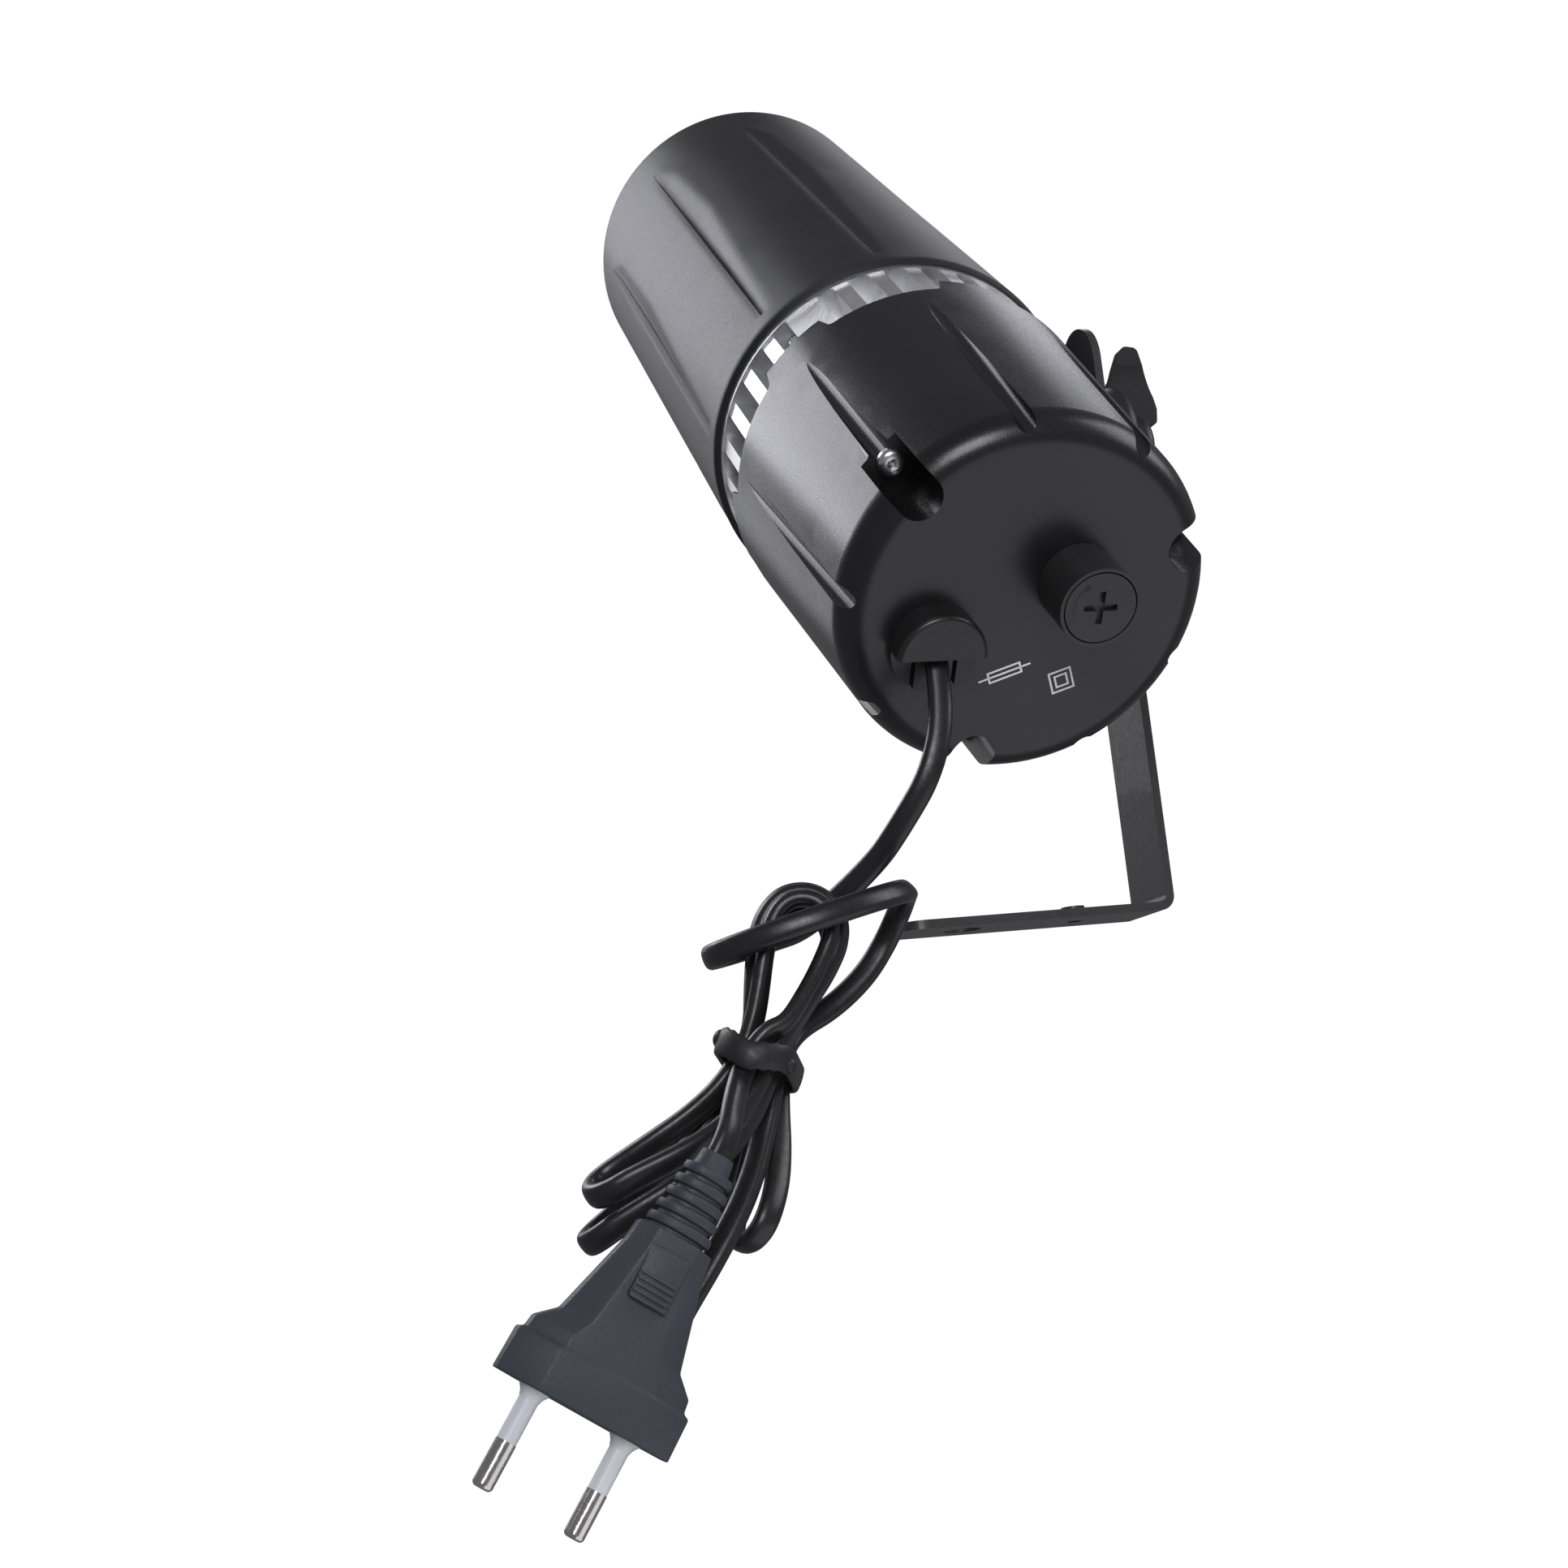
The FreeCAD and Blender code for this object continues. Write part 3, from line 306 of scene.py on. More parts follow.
node_materials = {
    "heat_sink": cast_aluminium, "front_shell": shell_plastic, "front_lens": lens_glass,
    "lens_ring": shell_plastic, "led_board": board_white, "led_emitter": emitter_yellow,
    "led_optic": optic_clear, "rear_shell": rear_plastic, "shell_screws": screw_steel,
    "driver_board": board_green, "transformer": transformer_yellow, "capacitors": capacitor_black,
    "fuse_holder": holder_plastic, "fuse_holder_nut": holder_plastic, "fuse_cap": holder_plastic,
    "fuse_carrier": holder_plastic, "fuse_tube": fuse_glass, "fuse_ends": fuse_metal,
    "strain_relief": grip_plastic, "bracket": bracket_paint, "pivot_washer": washer_rubber,
    "wing_knob": knob_plastic, "knob_bolt": bolt_steel, "cord_lead": cord_black,
    "cord_hank": cord_black, "cord_tie": tie_black, "plug_boot": plug_grey, "plug_body": plug_grey,
    "plug_pins": pin_metal, "pin_sleeves": sleeve_white,
}


def dress_nodes():
    for name, material in node_materials.items():
        for slot in nodes[name].material_slots:
            slot.material = material


# Making of pieces

def begin(name, add, **settings):
    # a primitive at its size, alone in the selection, in edit mode
    bpy.ops.object.select_all(action="DESELECT")
    add(location=(0, 0, 0), **settings)
    piece = bpy.context.active_object
    piece.name = piece.data.name = name
    bpy.ops.object.mode_set(mode="EDIT")
    return piece


def pick(piece, kind, rule):
    # selects the faces, edges or vertices whose middle and normal meet the rule
    bpy.ops.mesh.select_all(action="DESELECT")
    bpy.ops.mesh.select_mode(type=kind)
    mesh = bmesh.from_edit_mesh(piece.data)
    groups = {"FACE": mesh.faces, "EDGE": mesh.edges, "VERT": mesh.verts}
    for part in groups[kind]:
        if kind == "FACE":
            middle, way = part.calc_center_median(), part.normal
        elif kind == "EDGE":
            start, end = (vertex.co for vertex in part.verts)
            middle, way = (start + end) / 2, end - start
        else:
            middle, way = part.co, part.normal
        part.select_set(bool(rule(middle, way)))
    mesh.select_flush_mode()
    bmesh.update_edit_mesh(piece.data)


def grow(steps):
    # extrudes the selected face along Z through steps of rise, width scale and depth scale
    for rise, width, depth in steps:
        bpy.ops.mesh.extrude_region_move(TRANSFORM_OT_translate={"value": (0, 0, rise)})
        bpy.ops.transform.resize(value=(width, depth, 1), center_override=(0, 0, 0))


def close_shape():
    # merges what meets, turns the faces outwards and leaves edit mode
    bpy.ops.mesh.select_all(action="SELECT")
    bpy.ops.mesh.remove_doubles(threshold=0.000002)
    bpy.ops.mesh.normals_make_consistent(inside=False)
    bpy.ops.object.mode_set(mode="OBJECT")


def take(piece, *others):
    # makes the piece active, with it and the others alone in the selection
    bpy.ops.object.select_all(action="DESELECT")
    for each in (*others, piece):
        each.select_set(True)
    bpy.context.view_layer.objects.active = piece


def add_modifier(piece, kind, **settings):
    modifier = piece.modifiers.new(kind.lower(), kind)
    for name, value in settings.items():
        setattr(modifier, name, value)
    take(piece)
    bpy.ops.object.modifier_apply(modifier=modifier.name)


def round_edges(piece, width, segments, angle=35):
    limit = {"limit_method": "ANGLE", "angle_limit": math.radians(angle)}
    add_modifier(piece, "BEVEL", width=width, segments=segments, **limit)


def smooth(piece, angle):
    take(piece)
    bpy.ops.object.shade_smooth_by_angle(angle=math.radians(angle))


def join_pieces(first, others):
    take(first, *others)
    bpy.ops.object.join()
    return first


def copy_of(piece, name):
    copy = piece.copy()
    copy.data = piece.data.copy()
    copy.name = copy.data.name = name
    bpy.context.scene.collection.objects.link(copy)
    return copy


def finish_piece(piece, place, material, body):
    # puts the piece's place into its mesh and gives it its finish and its body
    piece.data.transform(place)
    piece.data.materials.clear()
    piece.data.materials.append(material)
    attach(piece, body)
    return piece


def flat_sheet(name, width, depth):
    # a flat rectangle, square to Z
    sheet = begin(name, bpy.ops.mesh.primitive_plane_add, size=1)
    bpy.ops.transform.resize(value=(width, depth, 1), center_override=(0, 0, 0))
    return sheet


def rounded_sheet(name, width, depth, rounding, segments, height=0.0):
    # a flat rectangle with rounded corners, at its height
    sheet = flat_sheet(name, width, depth)
    bpy.ops.transform.translate(value=(0, 0, height))
    bpy.ops.mesh.bevel(offset=rounding, segments=segments, affect="VERTICES")
    bpy.ops.mesh.select_mode(type="FACE")
    bpy.ops.mesh.select_all(action="SELECT")
    return sheet


def round_disc(name, radius, corners):
    # a flat disc, square to Z
    disc = begin(
        name, bpy.ops.mesh.primitive_circle_add, vertices=corners, radius=radius, fill_type="NGON",
    )
    bpy.ops.mesh.select_all(action="SELECT")
    return disc


# Mains cord: its lead, one turn round the hank's neck, the hank with its loops, and its tail. Steps
# are along X, Y and Z from where the cord leaves its grip; the hank's places are side, height and
# depth. The cord's section in the solids is round, and its diameter sets the strands' spacing here.
cord_diameter = 0.0042
cord_width = 0.0050
cord_thickness = 0.0034
cord_squareness = 0.8
cord_corners = 20
cord_exit_hold = 0.5
cord_exit_points = 16
line_steps = 8
line_order = 3
line_gap = 0.0003
bend_span = 4
strong_bend = 0.5
side_stiffness = 5.0
side_passes = 400
strand_gap = 0.0009
cord_exit = Vector((-0.019998, -0.058467, 0.052585))
cord_way = Vector((0, -0.165048, -0.986286))
cord_first_run = 0.013
cord_bends = ((-0.0045, -0.003, -0.0266), (-0.011, 0.002, -0.0366))
cord_lead_end = (-0.0152, 0.008, -0.043)
hank_waist = (-0.0453, 0.0015, -0.0809)
hank_lean_angle = 24.2
loop_count = 4
fold_reaches = (0.0345, 0.0555, 0.0447, 0.0366)
fold_places = (0.0088, 0.0002, -0.0178, -0.0209)
fold_radius = 0.006
arch_reaches = (0.034, 0.037, 0.0355, 0.033)
arch_radii = (0.007, 0.0085, 0.008, 0.006)
twist_low = -0.056
twist_high = 0.014
twist_start_angle = -12.0
twist_turn_angle = 90.0
wrap_middle = (0.0017, 0.0295, 0.0024)
wrap_half_width = 0.0215
wrap_half_depth = 0.015
wrap_slope_angle = 37.7
wrap_start_angle = 80.0
wrap_steps = 12
side_strand = (
    (0.0204, 0.0400, 0.0094), (0.0203, 0.0335, 0.0128), (0.0183, 0.0255, 0.0130),
    (0.0136, 0.0170, 0.0126), (0.0076, 0.0104, 0.0116),
)
tail_strand = ((-0.0054, -0.0115, -0.0144),)
tail_end = (-0.006, -0.022, -0.0185)
waist_run = 0.004
fan_share = 1.6
share_step = 0.01
run_shares = (0, 0.25, 0.5, 0.75)
turn_shares = (0, 0.25, 0.5, 0.75, 1)
waist_spread = (cord_diameter + strand_gap) / 2


def cord_place(step):
    return cord_exit + Vector(step)


def leaning_axes(angle):
    lean = math.radians(angle)
    return Vector((math.cos(lean), 0, -math.sin(lean))), Vector((math.sin(lean), 0, math.cos(lean)))


def hank_place(side, height, depth):
    right, up = leaning_axes(hank_lean_angle)
    return cord_place(hank_waist) + right * side + up * height + Vector((0, depth, 0))


def ease(share):
    return share * share * (3 - 2 * share)


def twist_angle(height):
    share = min(max((height - twist_low) / (twist_high - twist_low), 0), 1)
    return twist_start_angle + twist_turn_angle * ease(share)


def strand_place(height, column, spread):
    turn = math.radians(twist_angle(height))
    side = column * math.cos(turn) + spread * math.sin(turn)
    depth = column * math.sin(turn) - spread * math.cos(turn)
    return hank_place(side, height, depth)


def waist_column(i):
    return (loop_count / 2 - i) * (cord_diameter + strand_gap)


def low_run(i, side, share):
    height = (fold_radius - fold_reaches[i]) * share
    spread = waist_spread + (fold_radius - waist_spread) * ease(share)
    fan = share ** 2 * (fan_share - (fan_share - 1) * share)
    column = waist_column(i) + (fold_places[i] - waist_column(i)) * fan
    return strand_place(height, column, side * spread)


def high_run(i, column, side, share):
    height = (arch_reaches[i] - arch_radii[i]) * share
    spread = waist_spread + (arch_radii[i] - waist_spread) * ease(share)
    column += (waist_column(i) - column) * ease(share)
    return strand_place(height, column, side * spread)


def half_circle(out, back, share):
    start, end = out(1), back(1)
    centre, arm = (start + end) / 2, (start - end) / 2
    onward = start - out(1 - share_step) + end - back(1 - share_step)
    onward = (onward - arm * (onward.dot(arm) / arm.dot(arm))).normalized()
    turn = math.pi * share
    return centre + arm * math.cos(turn) + onward * (arm.length * math.sin(turn))


def neck_turn(share):
    turn = math.radians(wrap_start_angle + (360 - wrap_start_angle) * share)
    slope = math.radians(wrap_slope_angle)
    along = wrap_half_width * math.cos(turn)
    side, height, depth = wrap_middle
    side, height = side + along * math.cos(slope), height + along * math.sin(slope)
    return hank_place(side, height, depth + wrap_half_depth * math.sin(turn))


def loop_points(i):
    # down to the fold, up to the arch and back down to the next column at the waist
    column, following = waist_column(i), waist_column(i + 1)
    down, up = lambda share: low_run(i, 1, share), lambda share: low_run(i, -1, share)
    rise = lambda share: high_run(i, column, -1, share)
    fall = lambda share: high_run(i, following, 1, share)
    points = [down(share) for share in run_shares]
    points += [half_circle(down, up, share) for share in turn_shares]
    points += [up(1 - share) for share in run_shares[1:]]
    points += [rise(share) for share in run_shares]
    points += [half_circle(rise, fall, share) for share in turn_shares]
    return points + [fall(1 - share) for share in run_shares[1:]]


def cord_points():
    points = [cord_exit, cord_exit + cord_way * cord_first_run]
    points += [cord_place(step) for step in (*cord_bends, cord_lead_end)]
    points += [neck_turn(k / wrap_steps) for k in range(wrap_steps + 1)]
    points += [hank_place(*place) for place in side_strand]
    points.append(strand_place(waist_run, waist_column(0), waist_spread))
    for i in range(loop_count):
        points += loop_points(i)
    last = waist_column(loop_count)
    points += [strand_place(height, last, 0) for height in (waist_run, -waist_run)]
    points += [hank_place(*place) for place in tail_strand]
    end, down = hank_place(*tail_end), -leaning_axes(plug_lean_angle)[1]
    return points + [end - down * cord_diameter, end]


def cord_line():
    # the smooth spline of the cord's route, read as points along it
    data = bpy.data.curves.new("cord_line", "CURVE")
    data.dimensions = "3D"
    data.resolution_u = line_steps
    spline = data.splines.new("NURBS")
    points = cord_points()
    spline.points.add(len(points) - 1)
    for point, place in zip(spline.points, points):
        point.co = (*place, 1)
    spline.order_u = line_order
    spline.use_endpoint_u = True
    curve = bpy.data.objects.new("cord_line", data)
    bpy.context.scene.collection.objects.link(curve)
    mesh = bpy.data.meshes.new_from_object(curve)
    line = []
    for vertex in mesh.vertices:
        if not line or (vertex.co - line[-1]).length > line_gap:
            line.append(vertex.co.copy())
    bpy.data.objects.remove(curve)
    bpy.data.meshes.remove(mesh)
    return line


def flat_sides(line):
    # directions of the cord's thin side: it bends flatwise and turns evenly from bend to bend
    count = len(line)
    ways = [(line[min(i + 1, count - 1)] - line[max(i - 1, 0)]).normalized() for i in range(count)]
    side = ways[0].cross(Vector((1, 0, 0))).normalized()
    sides = []
    for way in ways:
        side = (side - way * side.dot(way)).normalized()
        sides.append(side)
    pulls, aims, held = [], [], [(0, 0.0)]
    for i in range(count):
        bend = ways[min(i + bend_span, count - 1)] - ways[max(i - bend_span, 0)]
        x, y = bend.dot(sides[i]), bend.dot(ways[i].cross(sides[i]))
        pull, aim = x * x + y * y, math.atan2(y, x)
        if i < cord_exit_points:
            pull, aim = cord_exit_hold, 0.0
        aim += math.pi * round((held[-1][1] - aim) / math.pi)
        if pull > strong_bend:
            held.append((i, aim))
        pulls.append(pull * pull)
        aims.append(aim)
    turns = []
    for (start, before), (end, after) in zip(held, held[1:] + [(count, held[-1][1])]):
        turns += [before + (after - before) * k / (end - start) for k in range(end - start)]
    for _ in range(side_passes):
        for i in range(1, count):
            pair = turns[i - 1] + turns[min(i + 1, count - 1)]
            weight = 2 * side_stiffness + pulls[i]
            turns[i] = (side_stiffness * pair + pulls[i] * aims[i]) / weight
    turned = [
        side * math.cos(turn) + way.cross(side) * math.sin(turn)
        for side, way, turn in zip(sides, ways, turns)
    ]
    return ways, turned


def make_cord():
    # a flat twin cord: an oval section swept along the line
    line = cord_line()
    ways, sides = flat_sides(line)
    corners = []
    for place, way, side in zip(line, ways, sides):
        wide = way.cross(side)
        for k in range(cord_corners):
            turn = 2 * math.pi * k / cord_corners
            x, y = math.cos(turn), math.sin(turn)
            across = wide * (cord_width / 2 * math.copysign(abs(x) ** cord_squareness, x))
            through = side * (cord_thickness / 2 * math.copysign(abs(y) ** cord_squareness, y))
            corners.append(place + across + through)
    last = cord_corners * (len(line) - 1)
    faces = [list(range(cord_corners)), list(range(last, last + cord_corners))]
    for i in range(len(line) - 1):
        for k in range(cord_corners):
            following = (k + 1) % cord_corners
            here, onward = i * cord_corners, (i + 1) * cord_corners
            faces.append([here + k, here + following, onward + following, onward + k])
    mesh = bpy.data.meshes.new("mains_cord")
    mesh.from_pydata(corners, [], faces)
    cord = bpy.data.objects.new("mains_cord", mesh)
    bpy.context.scene.collection.objects.link(cord)
    take(cord)
    bpy.ops.object.mode_set(mode="EDIT")
    close_shape()
    smooth(cord, 60)
    finish_piece(cord, Matrix.Identity(4), cord_black, "lamp_body")
    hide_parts("cord_lead", "cord_hank")
    return cord, line


# Tie round the waist of the hank. Its steps are a share of its height and a scale there, its dips
# a reach from its middle and a drop.
tie_height = 0.0048
tie_wall = 0.0012
tie_length = 0.028
tie_width = 0.0128
tie_end_radius = 0.0063936
tie_steps = ((0.15, 1.025), (0.2, 1.015), (0.3, 1.0), (0.2, 0.985), (0.15, 0.976))
tie_dips = ((0.0048, 0.0005), (0.0034, 0.0006), (0.0016, 0.0006))
tie_edge = 0.00048
tie_tuck_radius = 0.0019
tie_tuck_shape = (1.3, 0.8, 1)
tie_tuck_place = (-0.0085, 0.00712, 0.0006)


def make_tie():
    # a crowned band pulled round the strands, which dips in front and bulges where its ends tuck in
    band = rounded_sheet("hank_tie", tie_length, tie_width, tie_end_radius, 10, -tie_height / 2)
    grow([(tie_height * rise, scale, scale) for rise, scale in tie_steps])
    pick(band, "FACE", lambda middle, way: abs(way.z) > 0.9)
    bpy.ops.mesh.delete(type="FACE")
    for reach, drop in tie_dips:
        pick(band, "VERT", lambda place, way: place.x < 0 and abs(place.y) < reach)
        bpy.ops.transform.translate(value=(0, 0, -drop))
    close_shape()
    add_modifier(band, "SOLIDIFY", thickness=tie_wall, offset=1.0, use_even_offset=True)
    round_edges(band, tie_edge, 3, 60)
    tucks = []
    for side in (-1, 1):
        tuck = begin(
            "tie_tuck", bpy.ops.mesh.primitive_uv_sphere_add, segments=24, ring_count=12,
            radius=tie_tuck_radius,
        )
        along, across, rise = tie_tuck_place
        bpy.ops.transform.resize(value=tie_tuck_shape, center_override=(0, 0, 0))
        bpy.ops.transform.translate(value=(along, side * across, side * rise))
        close_shape()
        tucks.append(tuck)
    join_pieces(band, tucks)
    smooth(band, 50)
    right, up = leaning_axes(hank_lean_angle)
    turn = Matrix((right, up.cross(right), up)).transposed().to_4x4()
    twist = Matrix.Rotation(math.radians(twist_angle(0)), 4, "Z")
    place = Matrix.Translation(cord_place(hank_waist)) @ turn @ twist
    finish_piece(band, place, tie_black, "lamp_body")
    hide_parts("cord_tie")
    return band


# Plug: a ribbed boot and a flat body, drawn with +Z from the cord to the pins. Each section is its
# place, width and thickness; a rib's shape is places along its pitch and the swell there.
plug_lean_angle = 35.0
boot_length = 0.017
boot_neck = 0.0032
boot_ribs = 5
boot_width = 0.0088
boot_thickness = 0.008
boot_growth = 0.004
boot_rounding = 0.499
boot_edge = 0.0003
rib_depth = 0.0008
rib_shape = ((0.06, 0), (0.36, 0.4), (0.66, 0), (0.72, -2), (0.98, -2))
plug_chamfer = 0.0034
plug_edge = 0.0005
plug_sections = (
    (0.0, 0.0150, 0.0110), (0.0040, 0.0158, 0.0112), (0.0205, 0.0246, 0.0122),
    (0.0238, 0.0318, 0.0128), (0.0262, 0.0325, 0.0129), (0.0268, 0.0350, 0.0136),
    (0.0350, 0.0353, 0.0137),
)
grip_size = (0.0080, 0.0028, 0.0105)
grip_start = 0.0030
grip_slope_angle = 2.6
ridge_count = 5
ridge_size = (0.00736, 0.0010, 0.0007)
ridge_start = 0.00021
ridge_pitch = 0.00115


def plug_place():
    right, up = leaning_axes(plug_lean_angle)
    turn = Matrix((right, (-up).cross(right), -up)).transposed().to_4x4()
    return Matrix.Translation(hank_place(*tail_end)) @ turn


def section_steps(sections):
    # rise and scales that lead from each section to the next
    return [
        (after[0] - before[0], after[1] / before[1], after[2] / before[2])
        for before, after in zip(sections, sections[1:])
    ]


def boot_sections():
    # a plain neck over the cord, then ribs that widen towards the body, with grooves between them
    pitch = (boot_length - boot_neck) / boot_ribs
    sections = [(0, boot_width - 3 * rib_depth, boot_thickness - 3 * rib_depth)]
    sections.append((boot_neck, boot_width - 2 * rib_depth, boot_thickness - 2 * rib_depth))
    for k in range(boot_ribs):
        start, grown = boot_neck + pitch * k, boot_growth * (k + 1) / boot_ribs
        width, thickness = boot_width + grown, boot_thickness + grown / 2
        for share, swell in rib_shape:
            swell *= rib_depth
            sections.append((start + pitch * share, width + swell, thickness + swell))
    return sections


def make_boot():
    sections = boot_sections()
    _, width, thickness = sections[0]
    boot = rounded_sheet("plug_boot_ribbed", width, thickness, thickness * boot_rounding, 8)
    grow(section_steps(sections))
    close_shape()
    round_edges(boot, boot_edge, 3)
    smooth(boot, 40)
    finish_piece(boot, plug_place(), plug_grey, "lamp_body")
    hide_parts("plug_boot")
    return boot


def make_plug_body():
    _, width, thickness = plug_sections[0]
    body = rounded_sheet("plug_body_moulded", width, thickness, plug_chamfer, 1, boot_length)
    grow(section_steps(plug_sections))
    close_shape()
    round_edges(body, plug_edge, 3, 12)
    join_pieces(body, [piece for side in (-1, 1) for piece in make_grip(side)])
    smooth(body, 35)
    finish_piece(body, plug_place(), plug_grey, "lamp_body")
    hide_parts("plug_body")
    return body


def make_grip(side):
    # a finger grip on a flat side of the plug: a raised block with ridges across its lower half
    _, depth, length = grip_size
    pieces = [soft_block("grip_block", grip_size, (0, 0, 0))]
    for k in range(ridge_count):
        place = (0, depth / 2, ridge_start + ridge_pitch * k)
        pieces.append(soft_block("grip_ridge", ridge_size, place))
    turn = Matrix.Rotation(math.radians(90 - 90 * side), 4, "Z")
    middle = boot_length + grip_start + length / 2
    shift = Matrix.Translation((0, plug_sections[0][2] / 2, middle))
    slope = Matrix.Rotation(math.radians(-grip_slope_angle), 4, "X")
    for piece in pieces:
        piece.data.transform(turn @ shift @ slope)
    return pieces


def soft_block(name, size, place):
    # a block with softened edges
    block = begin(name, bpy.ops.mesh.primitive_cube_add, size=1)
    bpy.ops.transform.resize(value=size, center_override=(0, 0, 0))
    bpy.ops.transform.translate(value=place)
    close_shape()
    round_edges(block, min(size) * 0.3, 2)
    return block


# Flared roots of the pins' sleeves, sunk a little into the plug's face
pin_spread = 0.0186
flare_radius = 0.0030
flare_height = 0.0022
flare_steps = ((0.2, 0.98), (0.2, 0.88), (0.25, 0.86), (0.35, 0.90))
flare_depth = 0.0002


def make_flares():
    height = boot_length + plug_sections[-1][0] - flare_depth
    flares = []
    for side in (-1, 1):
        flare = round_disc("sleeve_flares", flare_radius, 32)
        grow([(flare_height * rise, scale, scale) for rise, scale in flare_steps])
        close_shape()
        flare.data.transform(Matrix.Translation((side * pin_spread / 2, 0, height)))
        flares.append(flare)
    flare = join_pieces(flares[0], flares[1:])
    smooth(flare, 50)
    return finish_piece(flare, plug_place(), sleeve_white, "lamp_body")


# Shell screws, three of them: a pan head with a cross recess, and a shank with its thread
head_radius = 0.003
head_steps = ((0.0009, 1.0), (0.0005, 0.96), (0.0004, 0.90), (0.0003, 0.80), (0.00015, 0.66))
head_edge = 0.00008
head_turn_angle = 50
recess_size = (0.0033, 0.0007, 0.0026)
recess_taper = (0.45, 0.6, 1)
recess_height = -0.0022
recess_angles = (20, 110)
shank_radius = 0.00122
thread_radius = 0.0015
thread_pitch = 0.0012
thread_depth = 0.0001
thread_half_height = 0.000432
thread_start = -0.014
thread_steps = 20
screw_end = 0.01725


def make_screw():
    head = round_disc("shell_screw", head_radius, 40)
    grow([(-rise, scale, scale) for rise, scale in head_steps])
    close_shape()
    for cutter in [recess_cutter(angle) for angle in recess_angles]:
        add_modifier(head, "BOOLEAN", operation="DIFFERENCE", solver="EXACT", object=cutter)
        bpy.data.objects.remove(cutter)
    round_edges(head, head_edge, 2, 30)
    length = screw_end - screw_seat
    shank = begin(
        "shank", bpy.ops.mesh.primitive_cylinder_add, vertices=24, radius=shank_radius,
        depth=length,
    )
    bpy.ops.transform.translate(value=(0, 0, length / 2))
    close_shape()
    join_pieces(head, [shank, make_thread()])
    smooth(head, 35)
    return head


def recess_cutter(angle):
    # one arm of the cross, narrower at its bottom
    cutter = begin("recess", bpy.ops.mesh.primitive_cube_add, size=1)
    bpy.ops.transform.resize(value=recess_size, center_override=(0, 0, 0))
    pick(cutter, "FACE", lambda middle, way: way.z > 0.9)
    bpy.ops.transform.resize(value=recess_taper, center_override=(0, 0, 0))
    bpy.ops.mesh.select_all(action="SELECT")
    bpy.ops.transform.translate(value=(0, 0, recess_height))
    close_shape()
    cutter.data.transform(Matrix.Rotation(math.radians(angle), 4, "Z"))
    return cutter


def make_thread():
    # a small ridge swept round the shank as a helix
    ridge = begin("thread", bpy.ops.mesh.primitive_circle_add, vertices=3, radius=1)
    mesh = bmesh.from_edit_mesh(ridge.data)
    root = shank_radius - thread_depth
    corners = (
        (root, 0, -thread_half_height), (thread_radius, 0, 0), (root, 0, thread_half_height),
    )
    for vertex, corner in zip(mesh.verts, corners):
        vertex.co = Vector(corner) + Vector((0, 0, thread_start - screw_seat))
    bmesh.update_edit_mesh(ridge.data)
    bpy.ops.object.mode_set(mode="OBJECT")
    turns = int((screw_end - thread_start - thread_pitch) / thread_pitch)
    add_modifier(
        ridge, "SCREW", axis="Z", screw_offset=thread_pitch, angle=math.radians(360),
        iterations=turns, steps=thread_steps, render_steps=thread_steps, use_normal_calculate=True,
    )
    return ridge


def make_screws():
    screw = make_screw()
    screws = [screw] + [copy_of(screw, "shell_screw_%d" % (k + 1)) for k in (1, 2)]
    for k, piece in enumerate(screws):
        turn = math.radians(screw_start_angle - 120 * k)
        across, along = screw_circle * math.cos(turn), screw_circle * math.sin(turn)
        place = lamp_place @ Matrix.Translation((across, along, screw_seat))
        place = place @ Matrix.Rotation(math.radians(head_turn_angle * k), 4, "Z")
        finish_piece(piece, place, screw_steel, "lamp_body")
    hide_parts("shell_screws")


# Fuse cap: a raised arrow that shows which way it turns, round the cap's cross slot
arrow_radius = 0.0056
arrow_width = 0.0005
arrow_height = 0.00015
arrow_start_angle = -122.0
arrow_turn_angle = 84.0
arrow_bend_steps = 16
arrow_head_radius = 0.0011
arrow_head_shape = (0.8, 1, 1)


def make_cap_arrow():
    shaft = flat_sheet("cap_arrow", arrow_width, arrow_width / 2)
    bpy.ops.transform.translate(value=(arrow_radius, 0, 0))
    pick(shaft, "EDGE", lambda middle, way: middle.y > arrow_width / 5)
    bend = math.radians(arrow_turn_angle)
    bpy.ops.mesh.spin(steps=arrow_bend_steps, angle=bend, center=(0, 0, 0), axis=(0, 0, 1))
    thicken_flat(arrow_height)
    head = round_disc("arrow_head", arrow_head_radius, 3)
    bpy.ops.transform.resize(value=arrow_head_shape, center_override=(0, 0, 0))
    thicken_flat(arrow_height)
    tip = Matrix.Translation((arrow_radius, -arrow_head_radius / 2, 0))
    head.data.transform(tip @ Matrix.Rotation(math.pi, 4, "Z"))
    join_pieces(shaft, [head])
    round_edges(shaft, arrow_height / 4, 2)
    smooth(shaft, 40)
    place = Matrix.Translation((*fuse_place, cap_front + arrow_height / 4))
    place = lamp_place @ place @ Matrix.Rotation(math.radians(arrow_start_angle), 4, "Z")
    return finish_piece(shaft, place, holder_plastic, "fuse_cap_body")


def thicken_flat(depth):
    # gives the flat faces their depth, towards the rear of the lamp
    bpy.ops.mesh.select_all(action="SELECT")
    bpy.ops.mesh.remove_doubles(threshold=0.000002)
    bpy.ops.mesh.extrude_region_move(TRANSFORM_OT_translate={"value": (0, 0, -depth)})
    close_shape()


# Printed marks on the rear face: a fuse symbol and a double square, both plain standard symbols
mark_slope_angle = -20.0
mark_depth = 0.00003
mark_line = 0.00042
fuse_mark_place = (-0.0033, 0.0156)
fuse_mark_size = (0.0076, 0.0027)
fuse_mark_lead = 0.0118
square_mark_place = (0.0098, 0.0180)
square_mark_sizes = (0.0052, 0.0030)


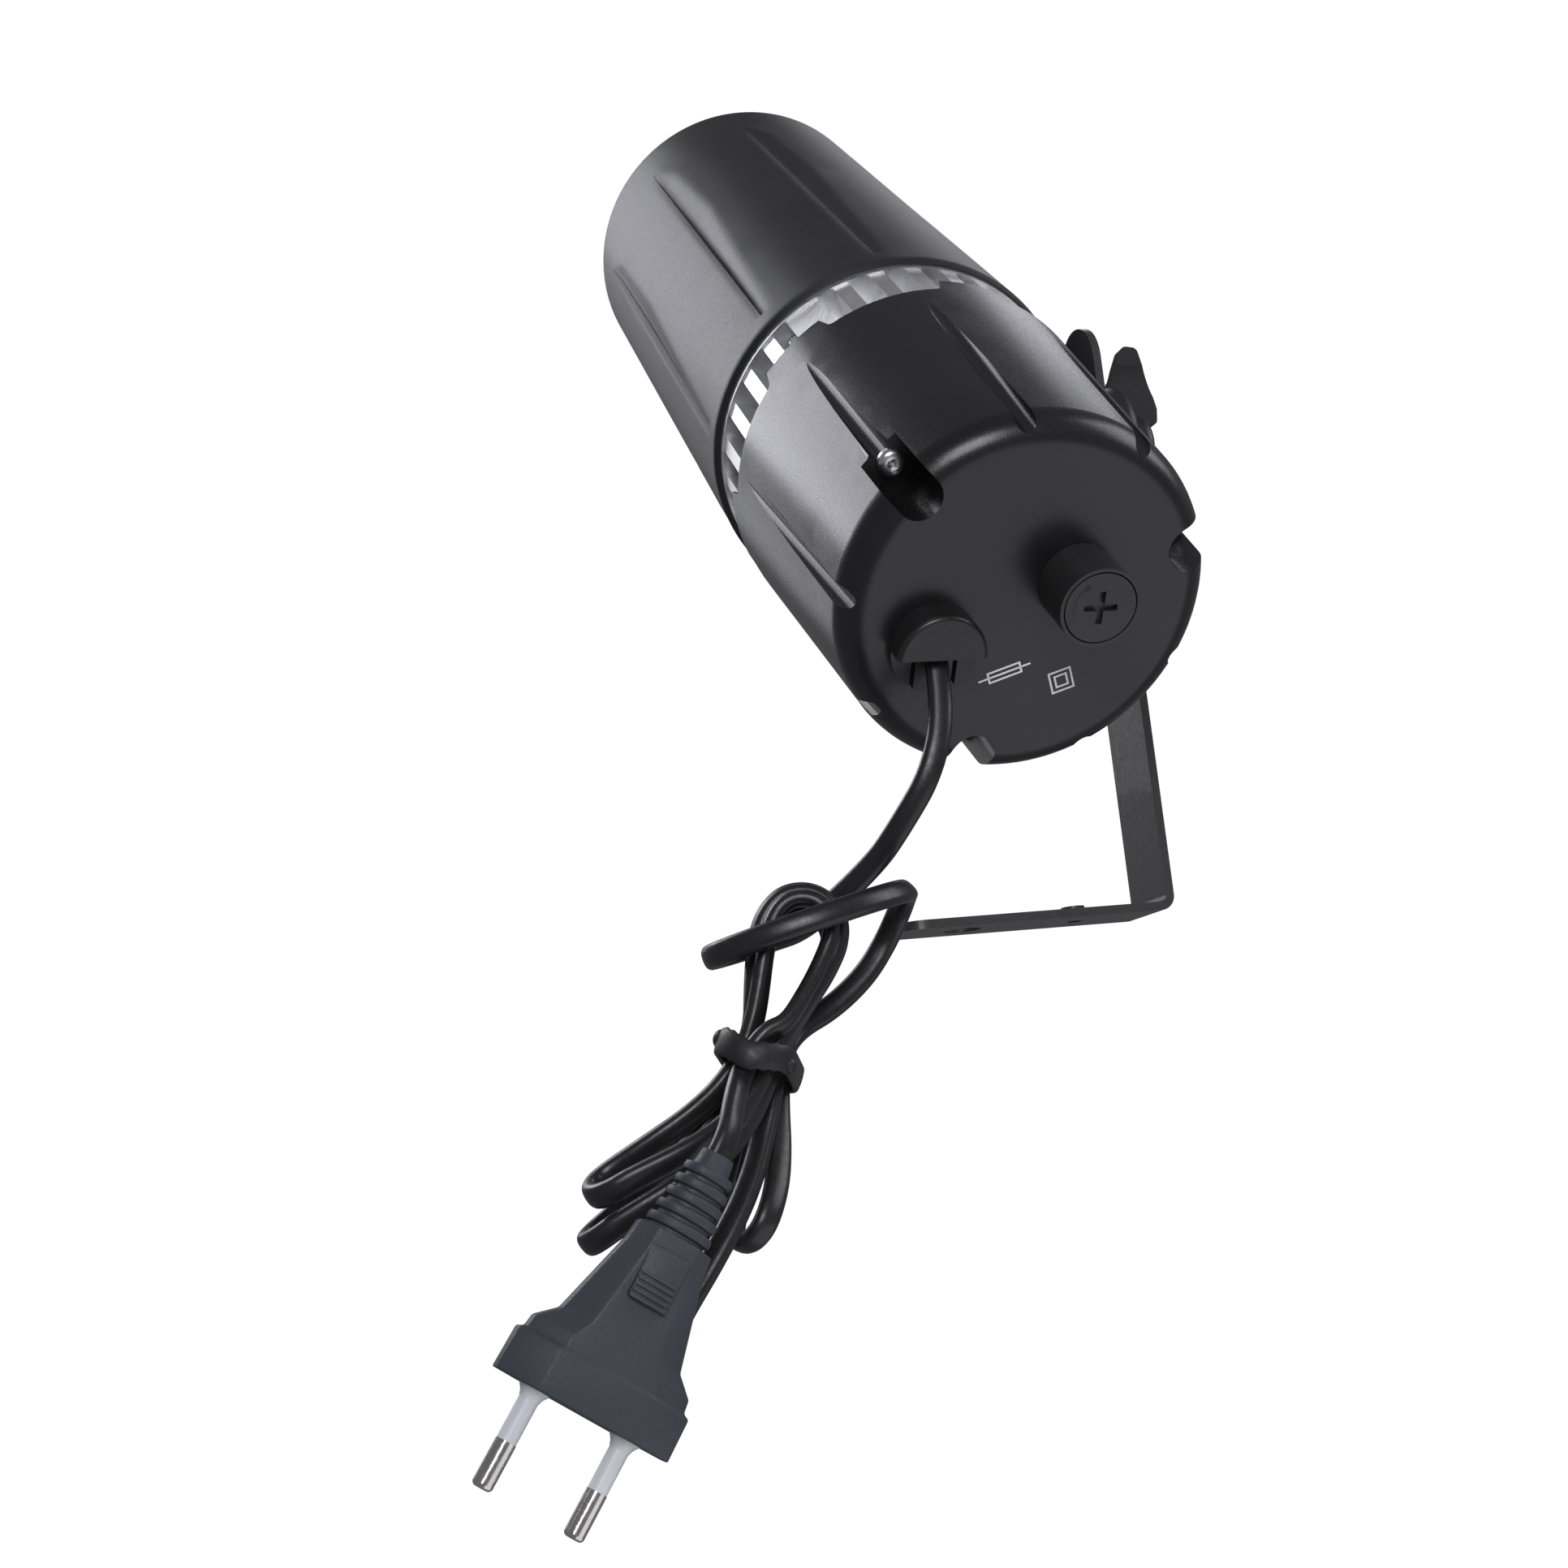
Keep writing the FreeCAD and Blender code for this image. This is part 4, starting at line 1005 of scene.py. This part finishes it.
def printed_frame(name, width, height):
    # an outline of one line's width
    mark = flat_sheet(name, width, height)
    bpy.ops.mesh.select_all(action="SELECT")
    bpy.ops.mesh.inset(thickness=mark_line)
    bpy.ops.mesh.delete(type="FACE")
    thicken_flat(mark_depth)
    return mark


def printed_rule(name, width):
    rule = flat_sheet(name, width, mark_line)
    thicken_flat(mark_depth)
    return rule


def make_marks():
    fuse_mark = printed_frame("fuse_mark", *fuse_mark_size)
    join_pieces(fuse_mark, [printed_rule("fuse_line", fuse_mark_lead)])
    outer, inner = (printed_frame("square_mark", size, size) for size in square_mark_sizes)
    join_pieces(outer, [inner])
    for mark, place in ((fuse_mark, fuse_mark_place), (outer, square_mark_place)):
        slope = Matrix.Rotation(math.radians(mark_slope_angle), 4, "Z")
        mark.data.transform(lamp_place @ Matrix.Translation((*place, rear_face)) @ slope)
        mark.data.materials.append(print_white)
        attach(mark, "lamp_body")


# Studio: a round white room with a slightly cool light. Each soft box has its place, the point it
# aims at, its side in metres and its power in watts.
studio_white = (0.93, 0.93, 1.0)
world_strength = 0.17
room_radius = 4.0
room_floor = -0.45
room_height = 6.0
room_rounding = 1.2
paper_glow = 0.85
soft_boxes = {
    "left_box": ((-0.736, 1.017, 1.122), (0.0, 0.05, 0.16), 0.85, 10.5),
    "right_box": ((0.76, 1.03, 1.17), (0.0, 0.05, 0.16), 0.5, 1.4),
    "back_box": ((-0.60, 1.70, 0.70), (0.03, 0.0, 0.06), 0.8, 2.0),
    "front_box": ((-0.32, -1.35, 0.42), (-0.04, 0.0, 0.0), 0.6, 9.0),
    "side_box": ((1.25, -0.50, 0.75), (0.0, 0.0, 0.12), 0.9, 8.0),
    "floor_box": ((0.42, -0.62, -1.05), (0.0, -0.05, 0.05), 1.6, 5.6),
}


def make_studio():
    # the room takes no part in reflections and shadows, and soft boxes light the lamp
    world = bpy.data.worlds.new("studio")
    world.use_nodes = True
    background = world.node_tree.nodes["Background"]
    background.inputs["Color"].default_value = (*studio_white, 1)
    background.inputs["Strength"].default_value = world_strength
    bpy.context.scene.world = world
    bpy.context.scene.view_settings.view_transform = "Standard"
    room = round_disc("room", room_radius, 64)
    bpy.ops.transform.translate(value=(0, 0, room_floor))
    grow([(room_height, 1.0, 1.0)])
    close_shape()
    round_edges(room, room_rounding, 8)
    smooth(room, 60)
    paper = new_material("room_paper", Roughness=0.9)
    cloud = add_noise(paper, place_node(paper), 3.0)
    tone = add_ramp(paper, cloud, "Fac", zip(patch_limits, (grey(0.90), grey(0.93))))
    join_nodes(paper, tone, "Color", shader_of(paper), "Base Color")
    shader_of(paper).inputs["Emission Color"].default_value = (1, 1, 1, 1)
    shader_of(paper).inputs["Emission Strength"].default_value = paper_glow
    room.data.materials.append(paper)
    room.visible_glossy = room.visible_diffuse = room.visible_shadow = False
    for name, settings in soft_boxes.items():
        add_light(name, *settings)


def add_light(name, place, aim, size, power):
    data = bpy.data.lights.new(name, "AREA")
    data.shape = "SQUARE"
    data.size = size
    data.energy = power
    data.color = studio_white
    light = bpy.data.objects.new(name, data)
    light.visible_camera = False
    bpy.context.scene.collection.objects.link(light)
    turn = (Vector(aim) - Vector(place)).to_track_quat("-Z", "Y").to_matrix().to_4x4()
    light.matrix_world = Matrix.Translation(place) @ turn


set_camera()
cord, line = make_cord()
dress_nodes()
tie = make_tie()
boot = make_boot()
plug_body = make_plug_body()
flares = make_flares()
make_screws()
make_cap_arrow()
make_marks()
make_studio()
